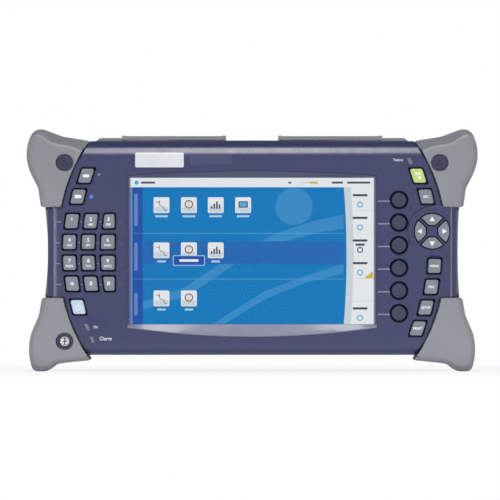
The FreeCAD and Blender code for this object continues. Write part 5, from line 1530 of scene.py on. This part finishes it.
@dataclass
class Module:
    """The plug-in optical module.

    Attributes:
        rib: The width of a grip rib.
    """

    rib: float = 1.6

    def build(self) -> None:
        """Builds its case and dresses its port, screws and flap."""
        form = Form()
        form.solid_of("module_case", MODULE_GREY)
        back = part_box("module_case")[1].y / MM
        for k in range(7):
            x = -9.6 + 3.2 * k
            form.bar((x - self.rib / 2, 45.0), (x + self.rib / 2, 59.0), back - 0.1, MODULE_GREY, 0.7, depth=0.5)
        form.bar((-34.0, 74.0), (34.0, 112.0), back - 0.1, LABEL_SILVER, 2.0, depth=0.22)
        for low, high in (((-30.0, 101.0), (30.0, 101.6)), ((-30.0, 85.0), (30.0, 85.6))):
            form.bar(low, high, back, LABEL_LINE, depth=0.16)
        for x in (-26.0, 14.0):
            form.bar((x, 77.5), (x + 12.0, 82.0), back, LABEL_LINE, 0.4, depth=0.16)
        form.piece("module_shell", "module", MODULE_GREY.slot, ["module_case"], bevel=0.3)
        dress("optical_port", "port_barrel", "module", PORT_NICKEL, 0.1)
        dress("module_screws", "thumb_screws", "module", SCREW_STEEL, 0.2)
        dress("port_cap", "port_flap", "flap", CAP_DARK, 0.3)
        keep("module_board", BOARD_GREEN)


@dataclass
class Stand:
    """The folding prop at the back."""

    def build(self) -> None:
        """Builds the prop."""
        dress("prop_stand", "prop_bail", "stand", STAND_DARK, 0.5)


@dataclass
class Insides:
    """The parts that the covers hide.

    Attributes:
        finishes: The finish of each.
    """

    finishes: dict[str, Finish] = field(default_factory=lambda: {
        "chassis": CHASSIS_METAL, "main_board": BOARD_GREEN, "key_mats": MAT_SILICONE, "key_board": BOARD_GREEN,
        "battery_pack": BATTERY_BLACK, "loudspeaker": CAP_DARK,
    })

    def build(self) -> None:
        """Dresses each hidden part."""
        for node, finish in self.finishes.items():
            keep(node, finish)


@dataclass
class Studio:
    """The floor, the light and the camera.

    Attributes:
        lens: The focal length in millimetres.
        sensor: The width of the camera's sensor.
        aim: The X and Z that the camera faces.
        field_width: How much of the object's face fits across the picture.
        world_level: How brightly the surround lights things from the sides and below.
    """

    lens: float = 800.0
    sensor: float = 36.0
    aim: tuple[float, float] = (-1.5, 86.8)
    field_width: float = 357.5
    world_level: float = 0.13

    def build(self) -> None:
        """Builds all of it."""
        self.world()
        self.floor()
        self.lights()
        self.camera()

    def backdrop_share(self, graph: Graph) -> Socket:
        """Tells the rays that show the background from the ones that light things.

        Args:
            graph: The node tree that needs it.

        Returns:
            1 for the former and 0 for the latter.
        """
        path = graph.add("LightPath").outputs
        direct = graph.math("MAXIMUM", path["Is Camera Ray"], path["Is Glossy Ray"])
        return graph.math("MAXIMUM", direct, path["Is Transmission Ray"])

    def world(self) -> None:
        """Sets an even pale surround, white where it is seen and darker above and behind for mirrored rays."""
        world = bpy.data.worlds.new("surround")
        bpy.context.scene.world = world
        world.use_nodes = True
        graph = Graph(world.node_tree)
        way = graph.add("SeparateXYZ", {0: graph.add("TexCoord").outputs["Generated"]}).outputs
        behind = graph.math("MULTIPLY_ADD", way["Y"], 0.9, way["Z"])
        height = graph.math("MAXIMUM", way["Z"], behind)
        low_to_high = (0.25, 0.85)
        dim = graph.remap(way["Z"], low_to_high, (self.world_level, 0.15))
        mirrored = graph.remap(height, low_to_high, (1.0, 0.2))
        seen = graph.math("MAXIMUM", mirrored, graph.add("LightPath").outputs["Is Camera Ray"])
        shades = [graph.add("Background", {"Color": WHITE, "Strength": level}) for level in (dim, seen)]
        graph.add("OutputWorld", {"Surface": graph.blend(self.backdrop_share(graph), *shades)})

    def floor(self) -> None:
        """Lays a wide pale floor under the object."""
        form = bmesh.new()
        bmesh.ops.create_grid(form, x_segments=1, y_segments=1, size=30.0)
        mesh = bpy.data.meshes.new("floor")
        form.to_mesh(mesh)
        form.free()
        made = bpy.data.materials.new("floor_white")
        made.use_nodes = True
        graph = Graph(made.node_tree)
        away = graph.add("VectorMath", {0: graph.add("TexCoord").outputs["Object"]}, operation="LENGTH")
        rise = graph.remap(away.outputs["Value"], (0.15, 0.6), (0.82, 1.0))
        share = graph.math("MULTIPLY", self.backdrop_share(graph), rise)
        plain = graph.add("BsdfDiffuse", {"Color": (0.86, 0.86, 0.86, 1)})
        glow = graph.add("Emission", {"Color": WHITE})
        graph.add("OutputMaterial", {"Surface": graph.blend(share, plain, glow)})
        mesh.materials.append(made)
        place("floor", mesh)

    def lamp(self, name: str, spot: Sequence[float], size: Point, power: float,
             target: Sequence[float] = (0, 0, 0.09)) -> None:
        """Hangs a soft rectangular lamp.

        Args:
            name: Its name.
            spot: Where it hangs, in metres.
            size: Its width and height.
            power: Its power in watts.
            target: Where it points.
        """
        light = bpy.data.lights.new(name, "AREA")
        light.shape = "RECTANGLE"
        light.size, light.size_y = size
        light.energy = power
        made = place(name, light)
        made.location = spot
        made.rotation_euler = (Vector(target) - Vector(spot)).to_track_quat("-Z", "Y").to_euler()
        made.visible_camera = False

    def lights(self) -> None:
        """Hangs one lamp over the front, one low before it, and one at each side before and behind."""
        self.lamp("over_front", (0, -0.93, 1.52), (0.33, 1.06), 17.0, (0, -0.03, 0.157))
        self.lamp("low_front", (0, -0.18, 0.003), (0.7, 0.26), 0.30, (0, -0.1799, 1))
        for side, name in ((-1, "left"), (1, "right")):
            self.lamp(f"{name}_side", (0.72 * side, -1.7, 0.09), (0.34, 0.2), 3.4)
            self.lamp(f"behind_{name}", (1.3 * side, 1.3, 0.9), (0.9, 0.9), 10.0)

    def camera(self) -> None:
        """Sets the camera level with the object's middle, far off with a long lens."""
        data = bpy.data.cameras.new("camera")
        data.lens = self.lens
        data.sensor_width = self.sensor
        data.clip_end = 100.0
        made = place("camera", data)
        away = self.lens / self.sensor * self.field_width * MM
        made.location = (self.aim[0] * MM, FRONT * MM - away, self.aim[1] * MM)
        made.rotation_euler = (math.radians(90), 0, 0)
        bpy.context.scene.camera = made


def main() -> None:
    """Builds every sub-assembly and the studio."""
    logging.basicConfig(level=logging.INFO, format="%(message)s")
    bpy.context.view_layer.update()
    shell = Enclosure().build()
    assemblies = (Bumpers(), Fixings(), Keys(), Prints(Skin(shell)), Display(), Lamps(), TopDeck(), Module(),
                  Stand(), Insides())
    for assembly in assemblies:
        assembly.build()
        log.info("%s built", type(assembly).__name__)
    Studio().build()
    bpy.context.scene.view_settings.view_transform = "Standard"


if __name__ == "__main__":
    main()
